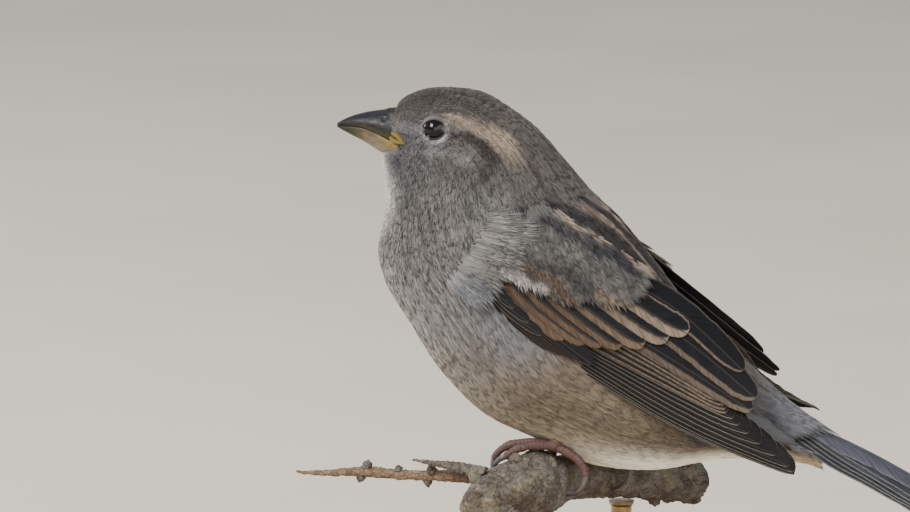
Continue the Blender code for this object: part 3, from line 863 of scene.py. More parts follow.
@dataclass(frozen=True)
class Markings:
    """The hen's plumage colours, worked out for any place on the body."""

    crown: Array = dye(82, 76, 72)
    crown_scale: Array = dye(52, 47, 44)
    cheek: Array = dye(80, 79, 80)
    ear: Array = dye(70, 65, 62)
    brow: Array = dye(140, 125, 110)
    stripe: Array = dye(30, 23, 18)
    lore: Array = dye(114, 109, 107)
    nape: Array = dye(73, 68, 65)
    throat: Array = dye(186, 181, 176)
    neck_side: Array = dye(92, 89, 87)
    breast: Array = dye(123, 119, 116)
    breast_side: Array = dye(109, 105, 102)
    flank: Array = dye(102, 89, 73)
    belly: Array = dye(152, 139, 118)
    vent: Array = dye(252, 246, 224)
    buff: Array = dye(128, 113, 99)
    black: Array = dye(30, 29, 34)
    rump: Array = dye(90, 86, 83)
    over_tail: Array = dye(92, 92, 97)
    under_tail: Array = dye(184, 166, 138)
    blue_grey: Array = dye(104, 105, 109)
    pale_cheek: Array = dye(150, 148, 147)
    eye_ring: Array = dye(132, 127, 124)

    brow_stroke: Stroke = Stroke(((-21.6, 120.9, 0.5), (-19, 120.3, 1.1), (-16.6, 119.4, 1.5),
                                  (-13.4, 117.8, 1.8), (-9.6, 115.6, 2.1), (-6, 112.6, 1.4)), 0.7)
    stripe_stroke: Stroke = Stroke(((-21.6, 117.4, 0.35), (-19.3, 117.3, 0.6), (-16.4, 116.9, 0.9),
                                    (-13.4, 115.4, 1.3), (-11, 112.6, 1.5), (-12.4, 109.6, 1.1),
                                    (-14.6, 106.6, 0.7)), 0.7)
    ear_rim_stroke: Stroke = Stroke(((-11.6, 110.6, 0.9), (-14.4, 106.4, 1), (-18, 104, 0.9)), 1.2)
    ear_stroke: Stroke = Stroke(((-20.5, 112.6, 3), (-16, 110.4, 3)), 2.2)
    cheek_stroke: Stroke = Stroke(((-24.5, 114.2, 0.7), (-20.5, 113.8, 0.8), (-16.5, 112.6, 0.5)), 1.2)
    lore_stroke: Stroke = Stroke(((-31.4, 118.6, 0.8), (-27.6, 118.4, 0.6)), 0.7)
    mantle_strokes: tuple[Stroke, ...] = (
        Stroke(((60, 17, 0.5), (67, 14, 1.1), (74.5, 10.5, 1.2), (86, 8, 0.6)), 0.4),
        Stroke(((62, 12, 0.7), (68, 9, 1.8), (75.5, 5.6, 2), (84, 4.2, 1.8), (95, 3.4, 0.6)), 0.4),
        Stroke(((65, 4.4, 0.7), (71, 2.4, 1.4), (78, 1, 1.4), (92, 0.5, 0.9)), 0.4),
    )
    whisker_stroke: Stroke = Stroke(((-31.2, 112.4, 0.25), (-30.4, 109.8, 0.2)), 0.35)
    eye: Pair = (-23.8, 118.4)

    def at(self, station: Array, angle: Array, place: Array, draw: Array) -> Array:
        """Paint places on the body.

        Args:
            station: First coordinate on the body form.
            angle: Second coordinate.
            place: Still positions, before the head is turned.
            draw: A number from -1 to 1 that belongs to each place's feather.

        Returns:
            A linear colour for each place.
        """
        x, z = place[..., 0], place[..., 2]
        off = off_back(angle)
        colour = self._underparts(station, off)
        back = washed(station, self.crown, (self.nape, 3.5, 6), (self.buff * 0.8, 8.2, 9.2),
                      (self.rump, 11.5, 13), (self.over_tail, 13.8, 15))
        edge = 66 - 8 * ease(5, 8, station) + 48 * ease(12.6, 14.4, station)
        colour = self._mantle(blend(colour, back, 1 - ease(edge - 10, edge + 10, off)), station, off, draw)
        return self._face(colour, station, off, x, z, draw)

    def _underparts(self, station: Array, off: Array) -> Array:
        """Throat, breast, flanks, belly and vent, before the back is laid over them."""
        side = washed(station, self.cheek, (self.neck_side, 3.4, 5.4), (self.breast_side, 7, 9),
                      (self.flank, 9.5, 11.5))
        blue = (ease(8.2, 8.9, station) * (1 - ease(10.2, 11, station))
                * ease(62, 74, off) * (1 - ease(104, 116, off)))
        middle = washed(station, self.throat, (self.breast, 3, 6), (self.belly, 9, 12),
                        (self.vent, 12, 13.8), (self.under_tail, 14.6, 16))
        return layered(side, (self.blue_grey, blue * 0.65),
                       (middle, ease(118, 160, off + 14 * ease(10.5, 13.5, station))))

    def _mantle(self, colour: Array, station: Array, off: Array, draw: Array) -> Array:
        """Black streaks and buff braces along the back."""
        run, level = station * 8, off * 0.3 + 0.22 * draw + 0.2 * np.sin(station * 2.3)
        on_back = ease(8, 9, station) * (1 - ease(12.2, 13.4, station)) * (1 - ease(12, 15, level))
        return layered(colour, (self.buff, on_back * 0.6),
                       *((self.black, stroke.cover(run, level) * 0.95) for stroke in self.mantle_strokes))

    def _face(self, colour: Array, station: Array, off: Array, x: Array, z: Array, draw: Array) -> Array:
        """The markings of the head's side."""
        head = 1 - ease(5.4, 7, station)
        aside = ease(20, 38, off) * (1 - ease(138, 152, off)) * head
        crown = (1 - ease(44, 58, off)) * (1 - ease(3.6, 5.6, station))
        scale = 0.5 + 0.5 * np.sin(station * 9 + 5 * draw)
        ring = np.hypot(x - self.eye[0], (z - self.eye[1]) * 1.08)
        pale = (1 - ease(0.2, 0.6, np.abs(ring - 2.6))) * aside
        return layered(
            colour,
            (self.ear, self.ear_stroke.cover(x, z) * aside * 0.8),
            (self.pale_cheek, self.cheek_stroke.cover(x, z) * aside * 0.4),
            (self.lore, self.lore_stroke.cover(x, z) * aside * 0.7),
            (self.stripe * 1.25, self.ear_rim_stroke.cover(x, z) * aside * 0.55),
            (self.brow, self.brow_stroke.cover(x, z + 0.25 * draw) * aside),
            (self.stripe, self.stripe_stroke.cover(x, z + 0.3 * draw) * aside * 0.95),
            (self.black, self.whisker_stroke.cover(x, z) * aside * 0.5),
            (self.crown_scale, crown * (0.25 + 0.4 * scale)),
            (self.eye_ring, pale * 0.6),
        )


BODY = BodyForm()
MARKINGS = Markings()


# ---- feathers ----

def streaks(first: Array, second: Array, grain: tuple[float, ...]) -> Array:
    """Long fine streaks that run on from feather to feather; as tint they are partly the barbs' tone and
    partly painted shade in the grooves between clumps of barbs.

    Args:
        first: First coordinate.
        second: Second coordinate.
        grain: Their length along the first, their pitch across the second, and their slant.

    Returns:
        Values from -1 to 1.
    """
    table = np.random.default_rng(5).uniform(-1, 1, (512, 64))
    across = (second + grain[2] * first) / grain[1]
    column = np.floor(across).astype(int)
    found = []
    for number in (column % 512, (column + 1) % 512):
        along = first / grain[0] + 11.0 * table[number, 0]
        row = np.floor(along).astype(int)
        share = along - row
        share = share * share * (3 - 2 * share)
        found.append(table[number, row % 62] * (1 - share) + table[number, (row + 1) % 62] * share)
    return found[0] * (1 - across + column) + found[1] * (across - column)


# one lock is two rings of three points and a tip: its faces, which ring each point is in, how far it
# lies aside and above, its painted shade (darker root, lighter ridge and tip), and its place on the unwrap
LOCK_FACES = ((0, 1, 4, 3), (1, 2, 5, 4), (2, 0, 3, 5))
LOCK_ENDS = ((0, 2, 1), (3, 4, 6), (4, 5, 6), (5, 3, 6))
LOCK_RING = [0, 0, 0, 1, 1, 1, 2]
LOCK_SIDE = np.array([-0.7, 0.7, 0, -1, 1, 0, 0])
LOCK_UP = np.array([0, 0, 0.63, 0, 0, 0.9, 0])
LOCK_PAINTED_SHADE = np.array([0.84, 0.84, 0.88, 0.98, 0.98, 1.03, 1.05])
LOCK_PATCH = np.array([(-1, -1), (1, -1), (0, -0.7), (-0.7, 0.1), (0.7, 0.1), (0, 0.3), (0, 1)]) * 0.0014


@dataclass(frozen=True)
class Fans:
    """Soft feathers, each a fan of fine solid locks of barbs.

    Args:
        form: What they lie on.
        roots: Both coordinates of each feather's root.
        heading: Unit direction of each on the still form; zeros follow the first coordinate.
        length: Length of each, in millimetres.
        width: Width of each.
        locks: Locks in a fan.
        thick: Width of one lock.
        sink: How deep the roots lie.
        lift: How far each fan's tip stands over the form.
        paint: Gives colours from both coordinates, still positions and the feather's draw.
        draw: A number from -1 to 1 for each feather.
        seed: Seed of the small differences.
        spread: How round the fan's end is.
        ragged: How unevenly long its locks are.
        grain: Length, pitch, slant and strength of the streaks that run through the feathers.
    """

    form: Form
    roots: Array
    heading: Array
    length: Array
    width: Array | float
    locks: int
    thick: Array | float
    sink: Array | float
    lift: Array | float
    paint: Callable[[Array, Array, Array, Array], Array]
    draw: Array
    seed: int
    spread: float = 0.26
    ragged: float = 0.4
    grain: tuple[float, float, float, float] = (0.9, TAU / 260, 0.0, 0.3)

    def build(self) -> MeshData:
        """Make all the fans as one mesh, with colours and unwrap places."""
        dice = np.random.default_rng(self.seed)
        count = len(self.roots)
        first, second = self.roots[:, 0], self.roots[:, 1]
        _, along, across, normal = frame_on(self.form, first, second)
        ahead = np.where(np.linalg.norm(self.heading, axis=1, keepdims=True) > 0, self.heading,
                         unit(along))
        ahead = unit(ahead - normal * (ahead * normal).sum(axis=1, keepdims=True))
        aside = np.cross(normal, ahead)
        q = np.linspace(-1, 1, self.locks)[None, :] + dice.normal(0, 0.6 / self.locks, (count, self.locks))
        length, width, thick, sink, lift = (np.broadcast_to(part, count)[:, None] for part in (
            self.length, self.width, self.thick, self.sink, self.lift))
        tip_u = length * (1 - self.spread * q ** 2 - self.ragged * dice.uniform(0, 1, q.shape))
        tip_v = width * 0.5 * q * (1 + dice.normal(0, 0.06, q.shape))
        base_u = length * (0.4 - 0.16 * np.abs(q)) * dice.uniform(0.85, 1.1, q.shape)
        base_v = tip_v * 0.72
        mid_u, mid_v = base_u + 0.74 * (tip_u - base_u), base_v + 0.84 * (tip_v - base_v)
        u = np.stack([base_u, mid_u, tip_u], axis=-1)
        v = np.stack([base_v, mid_v, tip_v], axis=-1)
        h = (sink + lift)[..., None] * (u / length[..., None]) - sink[..., None]
        h = h - 0.06 * width[..., None] * (q ** 2)[..., None] + dice.normal(0, 0.01, q.shape)[..., None]
        half = thick * 0.5 * dice.uniform(0.8, 1.25, q.shape)
        slope_u, slope_v = tip_u - base_u, tip_v - base_v
        side = (half / np.hypot(slope_u, slope_v))[..., None] * LOCK_SIDE
        u = u[..., LOCK_RING] - slope_v[..., None] * side
        v = v[..., LOCK_RING] + slope_u[..., None] * side
        h = h[..., LOCK_RING] + half[..., None] * LOCK_UP
        step = u[..., None] * ahead[:, None, None] + v[..., None] * aside[:, None, None]
        on_a, on_b = ((step * way[:, None, None]).sum(-1) for way in (along, across))
        aa, bb, ab = ((one * other).sum(1)[:, None, None]
                      for one, other in ((along, along), (across, across), (along, across)))
        c0 = first[:, None, None] + (on_a * bb - on_b * ab) / (aa * bb - ab ** 2)
        c1 = second[:, None, None] + (on_b * aa - on_a * ab) / (aa * bb - ab ** 2)
        streak = streaks(c0[..., 3:4], c1[..., 3:4], self.grain)
        points = raised(self.form, c0.reshape(-1), c1.reshape(-1), (h + 0.06 * streak).reshape(-1))
        tint = self._tint(dice, c0, c1, q, streak)
        places = self._places(c0[..., 0], c1[..., 0])
        number = np.arange(count * self.locks)[:, None, None] * 7
        quads = (number + np.array(LOCK_FACES)[None]).reshape(-1, 4)
        ends = (number + np.array(LOCK_ENDS)[None]).reshape(-1, 3)
        spots = (places[:, None, :] + LOCK_PATCH[None]).reshape(-1, 2)
        corners = np.vstack([spots[quads.reshape(-1)], spots[ends.reshape(-1)]])
        return MeshData(points, [quads, ends], tint, corners)

    def _tint(self, dice: np.random.Generator, c0: Array, c1: Array, q: Array, streak: Array) -> Array:
        """Colours of the locks' points: markings, streaks (partly painted shade between clumps), fine
        differences, and painted shade on the roots with painted light on the ridges.
        """
        draw = np.broadcast_to(self.draw[:, None, None], c0.shape)
        still = self.form.face(c0, c1)
        colour = self.paint(c0, c1, still, draw)
        feather = 1 + 0.03 * self.draw[:, None, None]
        each = dice.normal(0, 0.045, q.shape)
        # the streak tint is partly the barbs' tone and partly painted shade between clumps of barbs
        lock = 1 + (each + 0.6 * np.roll(each, 1, axis=1))[..., None] + self.grain[3] * streak
        rim = 1 + 0.06 * np.abs(q)[..., None] - 0.03
        # the per-point factor darkens the roots as painted shade and lightens ridges and tips as painted
        # light
        return np.clip(colour * (feather * lock * rim * LOCK_PAINTED_SHADE)[..., None], 0.004, 1.0).reshape(-1, 3)

    def _places(self, c0: Array, c1: Array) -> Array:
        """The place of each lock's root on the unwrap."""
        across = ((c1 / TAU) % 1.0) if isinstance(self.form, BodyForm) else c1
        out = np.column_stack([across.reshape(-1), c0.reshape(-1)])
        low, high = out.min(axis=0), out.max(axis=0)
        return 0.01 + 0.98 * (out - low) / (high - low)


# steps of a sequence that fills a square evenly
EVEN_STEPS = (0.7548776662, 0.569840291)


def scatter(form: Form, first: Pair, second: Pair, count: int,
            weight: Chart) -> Array:
    """Spread roots evenly over part of a form.

    Args:
        form: The surface.
        first: Lowest and highest first coordinate.
        second: Lowest and highest second coordinate.
        count: How many roots.
        weight: How densely each place is covered, from both coordinates.

    Returns:
        One row of both coordinates for each root.
    """
    grid = 180
    c0, c1 = np.linspace(*first, grid), np.linspace(*second, grid)
    a, b = np.meshgrid(c0, c1, indexing="ij")
    _, along, across, _ = frame_on(form, a, b)
    density = np.linalg.norm(np.cross(along, across), axis=-1) * weight(a, b) + 1e-9
    rows = np.cumsum(density.sum(axis=1))
    number = np.arange(1, count + 1)
    u, w = ((0.5 + step * number) % 1.0 for step in EVEN_STEPS)
    row = np.interp(u, rows / rows[-1], np.arange(grid))
    inside = np.cumsum(density, axis=1)
    inside /= inside[:, -1:]
    nearest = np.round(row).astype(int)
    column = np.array([np.interp(w[k], inside[nearest[k]], np.arange(grid)) for k in range(count)])
    return np.column_stack([np.interp(row, np.arange(grid), c0), np.interp(column, np.arange(grid), c1)])


@dataclass(frozen=True)
class Patch:
    """One region of the soft coat.

    Args:
        name: The piece's name.
        stations: Where it starts and ends along the body.
        feathers: How many.
        locks: Locks in each.
        thick: Width of a lock.
        above: Whether it is the region above the flanks, below them, or all round.
        puff: How far the feathers' ends stand over the form.
        seed: Seed of its small differences.
        strands: How many streaks go round the body.
        contrast: How strong they are.
    """

    name: str
    stations: Pair
    feathers: int
    locks: int
    thick: float
    above: bool | None
    puff: float
    seed: int
    strands: int
    contrast: float


@dataclass(frozen=True)
class Coat:
    """The soft feathers of head, neck and body."""

    patches: tuple[Patch, ...] = (
        Patch("coat_face", (0.1, 2.7), 2400, 8, 0.11, None, 0.05, 11, 380, 0.42),
        Patch("coat_crown", (2.5, 4.9), 1300, 14, 0.15, None, 0.06, 12, 320, 0.5),
        Patch("coat_neck", (4.6, 6.9), 980, 19, 0.18, None, 0.08, 13, 420, 0.55),
        Patch("coat_breast", (6.6, 9.5), 820, 23, 0.21, False, 0.11, 14, 480, 0.4),
        Patch("coat_belly", (9.2, 12.6), 820, 23, 0.22, False, 0.1, 15, 480, 0.22),
        Patch("coat_vent", (12.3, 16), 680, 22, 0.22, False, 0.08, 16, 320, 0.2),
        Patch("coat_back", (6.5, 12.4), 620, 24, 0.21, True, 0.1, 17, 400, 0.4),
        Patch("coat_rump", (12, 15.3), 400, 22, 0.22, True, 0.02, 18, 150, 0.25),
    )
    edge_of_back: float = 66.0
    lid: float = 2.15
    sizes: Table = ((0, 1.1, 0.9), (1, 1.5, 1.1), (2, 2, 1.4), (3, 2.7, 1.8),
                    (4, 3.3, 2.2), (5, 4.2, 2.7), (6, 5.2, 3.2), (7, 6.4, 3.8),
                    (9, 7.6, 4.3), (12, 8.2, 4.6), (15, 8, 4.2), (18, 7, 3.6))

    def build(self, perch: BVHTree) -> list[Piece]:
        """Grow every patch.

        Args:
            perch: The perch's surface, in metres, which no root may sit in.

        Returns:
            The pieces.
        """
        material = Plumage("soft plumage").build()
        pieces = []
        for patch in self.patches:
            pieces.append(self._grow(patch, perch).piece(patch.name, material))
            log.info("%s: %d feathers", patch.name, patch.feathers)
        return pieces + [self._tufts().piece("coat_bill_tufts", material)]

    @staticmethod
    def _tufts(count: int = 520) -> MeshData:
        """The short feathers that reach forward over the bill's root and its nostrils."""
        dice = np.random.default_rng(19)
        roots = scatter(BILL_ROOT, (-2.6, 0.2), (-1.5, 1.5), count,
                        lambda first, angle: (first < 0.2 - 2.3 * (np.abs(angle) / 1.5) ** 1.6) * 1.0)
        length = dice.uniform(0.8, 2.2, count) * (1 - 0.2 * np.abs(roots[:, 1]) / 1.5)

        def paint(first: Array, angle: Array, still: Array, draw: Array) -> Array:
            """The crown's brown above the bill and the lores' grey beside it."""
            return blend(MARKINGS.crown_scale, MARKINGS.lore * 0.75, ease(0.3, 1, np.abs(angle)) * 0.8)
        return Fans(BILL_ROOT, roots, np.zeros((count, 3)), length, 0.8, 6, 0.09, 0.12, 0.3, paint,
                    dice.uniform(-1, 1, count), 19, grain=(2.0, 0.16, 0.0, 0.45)).build()

    def _weight(self, patch: Patch) -> Chart:
        """How densely a patch covers the body."""
        def weight(station: Array, angle: Array) -> Array:
            """More where the feathers are small, and none outside the patch."""
            off = off_back(angle)
            size = np.interp(station, [row[0] for row in self.sizes], [row[1] for row in self.sizes])
            dense = 1 / size
            if patch.above is True:
                dense = dense * (off < self.edge_of_back)
            if patch.above is False:
                dense = dense * (off > self.edge_of_back - 8 + 50 * ease(14.6, 15.4, station))
            still = BODY.face(station, angle)
            return dense * ~self._under_wing(still)
        return weight

    @staticmethod
    def _bare(still: Array) -> Array:
        """Whether a still place is part of the bill's bare corner."""
        x, z = still[..., 0], still[..., 2]
        front = np.interp(z, (112.9, 113.8, 115.6, 117.2, 118.4, 119.6),
                          (-33.9, -32.1, -31.1, -30.6, -32.2, -33.2))
        return (x < front) & (z > 112.9) & (z < 119.8) & (np.abs(still[..., 1]) > 1.5)

    @staticmethod
    def _under_wing(still: Array) -> Array:
        """Whether a still place lies well inside what a folded wing covers."""
        dip = radians(WingForm.dip)
        x, z = still[..., 0] - WingForm.origin[0], still[..., 2] - WingForm.origin[1]
        a = x * cos(dip) - z * sin(dip)
        b = x * sin(dip) + z * cos(dip)
        return (a > 6) & (a < 70) & (b > -4.5) & (b < 5.0) & (np.abs(still[..., 1]) > 6)

    def _heading(self, roots: Array) -> Array:
        """The lie of the feathers: from the bill to the tail, parting round the eyes."""
        still, along, _, normal = frame_on(BODY, roots[:, 0], roots[:, 1])
        ahead = unit(along)
        eye = np.tile(EYES.centre, (len(roots), 1))
        eye[:, 1] *= np.sign(still[:, 1])
        away = still - eye
        away -= normal * (away * normal).sum(axis=1, keepdims=True)
        gap = np.maximum(np.linalg.norm(away, axis=1, keepdims=True), self.lid)
        out = unit(away)
        part = (self.lid / gap) ** 2 * (ahead - 2 * (ahead * out).sum(axis=1, keepdims=True) * out)
        off = off_back(roots[:, 1])
        droop = (1 - ease(4.5, 7, roots[:, 0])) * ease(62, 92, off) * (1 - ease(135, 160, off)) * 0.75
        down = droop[:, None] * np.array([0.0, 0.0, -1.0])
        stray = np.cross(normal, ahead) * np.random.default_rng(7).normal(0, 0.08, (len(roots), 1))
        return unit(ahead + part + down + stray)

    def _grow(self, patch: Patch, perch: BVHTree) -> MeshData:
        """Grow one patch."""
        dice = np.random.default_rng(patch.seed)
        roots = scatter(BODY, patch.stations, (-pi, pi), patch.feathers, self._weight(patch))
        still = BODY.face(roots[:, 0], roots[:, 1])
        world = BODY.settle(still, roots[:, 0])
        from_eye = np.hypot(still[:, 0] - EYES.centre[0], still[:, 2] - EYES.centre[2])
        from_eye = np.where(np.abs(still[:, 1]) > 4, from_eye, 99.0)
        keep = (from_eye > self.lid) & ~self._bare(still)
        keep &= np.array([self._clear_of(perch, point) for point in world])
        roots, from_eye = roots[keep], from_eye[keep]
        sizes = np.array(self.sizes)
        count = len(roots)
        vary = dice.uniform(0.88, 1.14, count)
        length = np.interp(roots[:, 0], sizes[:, 0], sizes[:, 1]) * vary
        width = np.interp(roots[:, 0], sizes[:, 0], sizes[:, 2]) * vary
        near = ease(self.lid, self.lid + 3.0, from_eye)
        length, width = length * (0.7 + 0.3 * near), width * (0.65 + 0.35 * near)
        sink = np.interp(roots[:, 0], (0, 2, 5, 9), (0.4, 0.42, 0.45, 0.42)) * (0.6 + 0.4 * near)
        return Fans(BODY, roots, self._heading(roots), length, width, patch.locks,
                    patch.thick * (0.75 + 0.25 * near), sink, patch.puff + dice.normal(0, 0.03, count),
                    MARKINGS.at, dice.uniform(-1, 1, count), patch.seed,
                    ragged=0.28 + 0.4 * patch.contrast,
                    grain=(0.9, TAU / patch.strands, 0.0, patch.contrast)).build()

    @staticmethod
    def _clear_of(perch: BVHTree, point: Array) -> bool:
        """Whether a place isn't in or right on the perch."""
        spot, normal, _, _ = perch.find_nearest(Vector(point * MM))
        return (Vector(point * MM) - spot).dot(normal) > 0.6 * MM


@dataclass(frozen=True)
class Quill:
    """One vaned feather.

    Args:
        path: Chart places of its root, its middle and its tip.
        webs: Widths of its outer web and its inner web.
        layer: Its height over the form at the root and at the tip.
        centre: Colour of its middle.
        fringe: Colour of its edge.
        trim: Width of the outer fringe, the inner fringe and the fringe at the tip.
        point: Length over which the tip narrows.
        inward: Direction from the outer to the inner web along the second coordinate.
    """

    path: Places
    webs: Pair
    layer: Pair
    centre: Array
    fringe: Array
    trim: Triple
    point: float = 5.0
    inward: float = 1.0


@dataclass(frozen=True)
class VaneSet:
    """Vaned feathers on one form, as one mesh.

    Args:
        form: What they lie on.
        quills: The feathers.
        seed: Seed of their small differences.
        rows: Rows of points along each.
        columns: Points across each.
        thick: How thick a vane is.
        camber: How far the shaft stands over the edges.
    """

    form: Form
    quills: Sequence[Quill]
    seed: int
    rows: int = 26
    columns: int = 9
    thick: float = 0.07
    camber: float = 0.12

    def build(self) -> MeshData:
        """Make all the feathers as closed thin vanes, with fringes and unwrap places."""
        dice = np.random.default_rng(self.seed)
        side = ceil(sqrt(len(self.quills)))
        return joined([self._vane(quill, dice, ((number % side) / side, (number // side) / side, 1 / side))
                       for number, quill in enumerate(self.quills)])

    def _vane(self, quill: Quill, dice: np.random.Generator, cell: Triple) -> MeshData:
        """One vane, upper sheet first, with what its material needs.

        Args:
            quill: The feather.
            dice: Where its small differences come from.
            cell: Corner and size of its square on the unwrap.

        Returns:
            The mesh.
        """
        t = 1 - (1 - np.linspace(0, 1, self.rows)) ** 1.5
        spine = Rail(quill.path).at(t * (len(quill.path) - 1))
        heading = unit(np.gradient(spine, axis=0))
        across = np.column_stack([-heading[:, 1], heading[:, 0]]) * quill.inward
        run = np.concatenate([[0], np.cumsum(np.linalg.norm(np.diff(spine, axis=0), axis=1))])
        to_tip = run[-1] - run
        round_off = np.sqrt(np.clip(1 - (1 - np.clip(to_tip / quill.point, 0, 1)) ** 2.2, 0, 1))
        start = 0.55 + 0.45 * ease(0, 0.25 * run[-1], run)
        ragged = 1 + dice.normal(0, 0.025, self.rows)
        outer = np.maximum(quill.webs[0] * round_off * start * ragged, 0.04)
        inner = np.maximum(quill.webs[1] * round_off ** 0.8 * start * ragged[::-1], 0.04)
        share = np.linspace(-1, 1, self.columns)
        web = share * np.where(share < 0, outer[:, None], inner[:, None])
        place = spine[:, None, :] + web[..., None] * across[:, None, :]
        height = quill.layer[0] + (quill.layer[1] - quill.layer[0]) * t[:, None]
        height = height - self.camber * share[None, :] ** 2 * np.minimum(1, outer + inner)[:, None] / 2
        sheets = [raised(self.form, place[..., 0], place[..., 1], height - sink).reshape(-1, 3)
                  for sink in (0.0, self.thick)]
        reach = np.stack([web + outer[:, None], inner[:, None] - web,
                          np.broadcast_to(to_tip[:, None], web.shape)], axis=-1).reshape(-1, 3)
        own = dice.uniform(0, 1)
        numbers = np.stack([web, np.broadcast_to(run[:, None], web.shape), np.full(web.shape, own)],
                           axis=-1)
        strength = np.broadcast_to(0.6 + 0.4 * t[:, None], web.shape).reshape(-1, 1)
        count = 2 * self.rows * self.columns
        shade = 1 + dice.normal(0, 0.1)
        faces, spots = self._faces_and_places(cell, self.form.outward * quill.inward < 0)
        values = {"reach": np.vstack([reach, reach]), "web": np.tile(numbers.reshape(-1, 3), (2, 1)),
                  "trim": np.tile(quill.trim, (count, 1)),
                  "fringe": quill.fringe * np.tile(strength, (2, 1))}
        tint = np.tile(quill.centre * shade, (count, 1))
        return MeshData(np.vstack(sheets), [faces], tint, spots, values)

    def _faces_and_places(self, cell: Triple, flip: bool) -> tuple[Array, Array]:
        """Faces of one closed vane and the unwrap place of each of their corners."""
        rows, columns = self.rows, self.columns
        top = grid_faces(rows, columns)
        half = rows * columns
        rim = np.concatenate([np.arange(columns), np.arange(1, rows) * columns + columns - 1,
                              (rows - 1) * columns + np.arange(columns - 2, -1, -1),
                              np.arange(rows - 2, 0, -1) * columns])
        after = np.roll(rim, -1)
        wall = np.stack([rim, after, after + half, rim + half], axis=-1)
        faces = np.vstack([top, top[:, ::-1] + half, wall])
        faces = faces[:, ::-1] if flip else faces
        along, across = np.meshgrid(np.linspace(0, 1, rows), np.linspace(0, 1, columns), indexing="ij")
        x, y, size = cell
        upper = np.column_stack([x + size * (0.06 + 0.38 * across.reshape(-1)),
                                 y + size * (0.05 + 0.9 * along.reshape(-1))])
        both = np.vstack([upper, upper + np.array([size * 0.48, 0])])
        spots = both[faces.reshape(-1)].reshape(-1, 4, 2)
        middle = upper.mean(axis=0)
        walls = slice(2 * len(top), None)
        on_rim = faces[walls] % half
        outward = unit(upper[on_rim] - middle) * size * 0.012
        spots[walls] = upper[on_rim] + outward * (faces[walls] >= half)[..., None]
        return faces, spots.reshape(-1, 2)


def row_between(first: Sequence[float], last: Sequence[float], count: int,
                bow: Sequence[float] = ()) -> Array:
    """Evenly changing rows of numbers from one row to another.

    Args:
        first: The first row.
        last: The last row.
        count: How many rows.
        bow: What is added half way.

    Returns:
        The rows.
    """
    t = np.linspace(0, 1, count)[:, None]
    extra = np.array(bow) * 4 * t * (1 - t) if len(bow) else 0.0
    return np.array(first) * (1 - t) + np.array(last) * t + extra


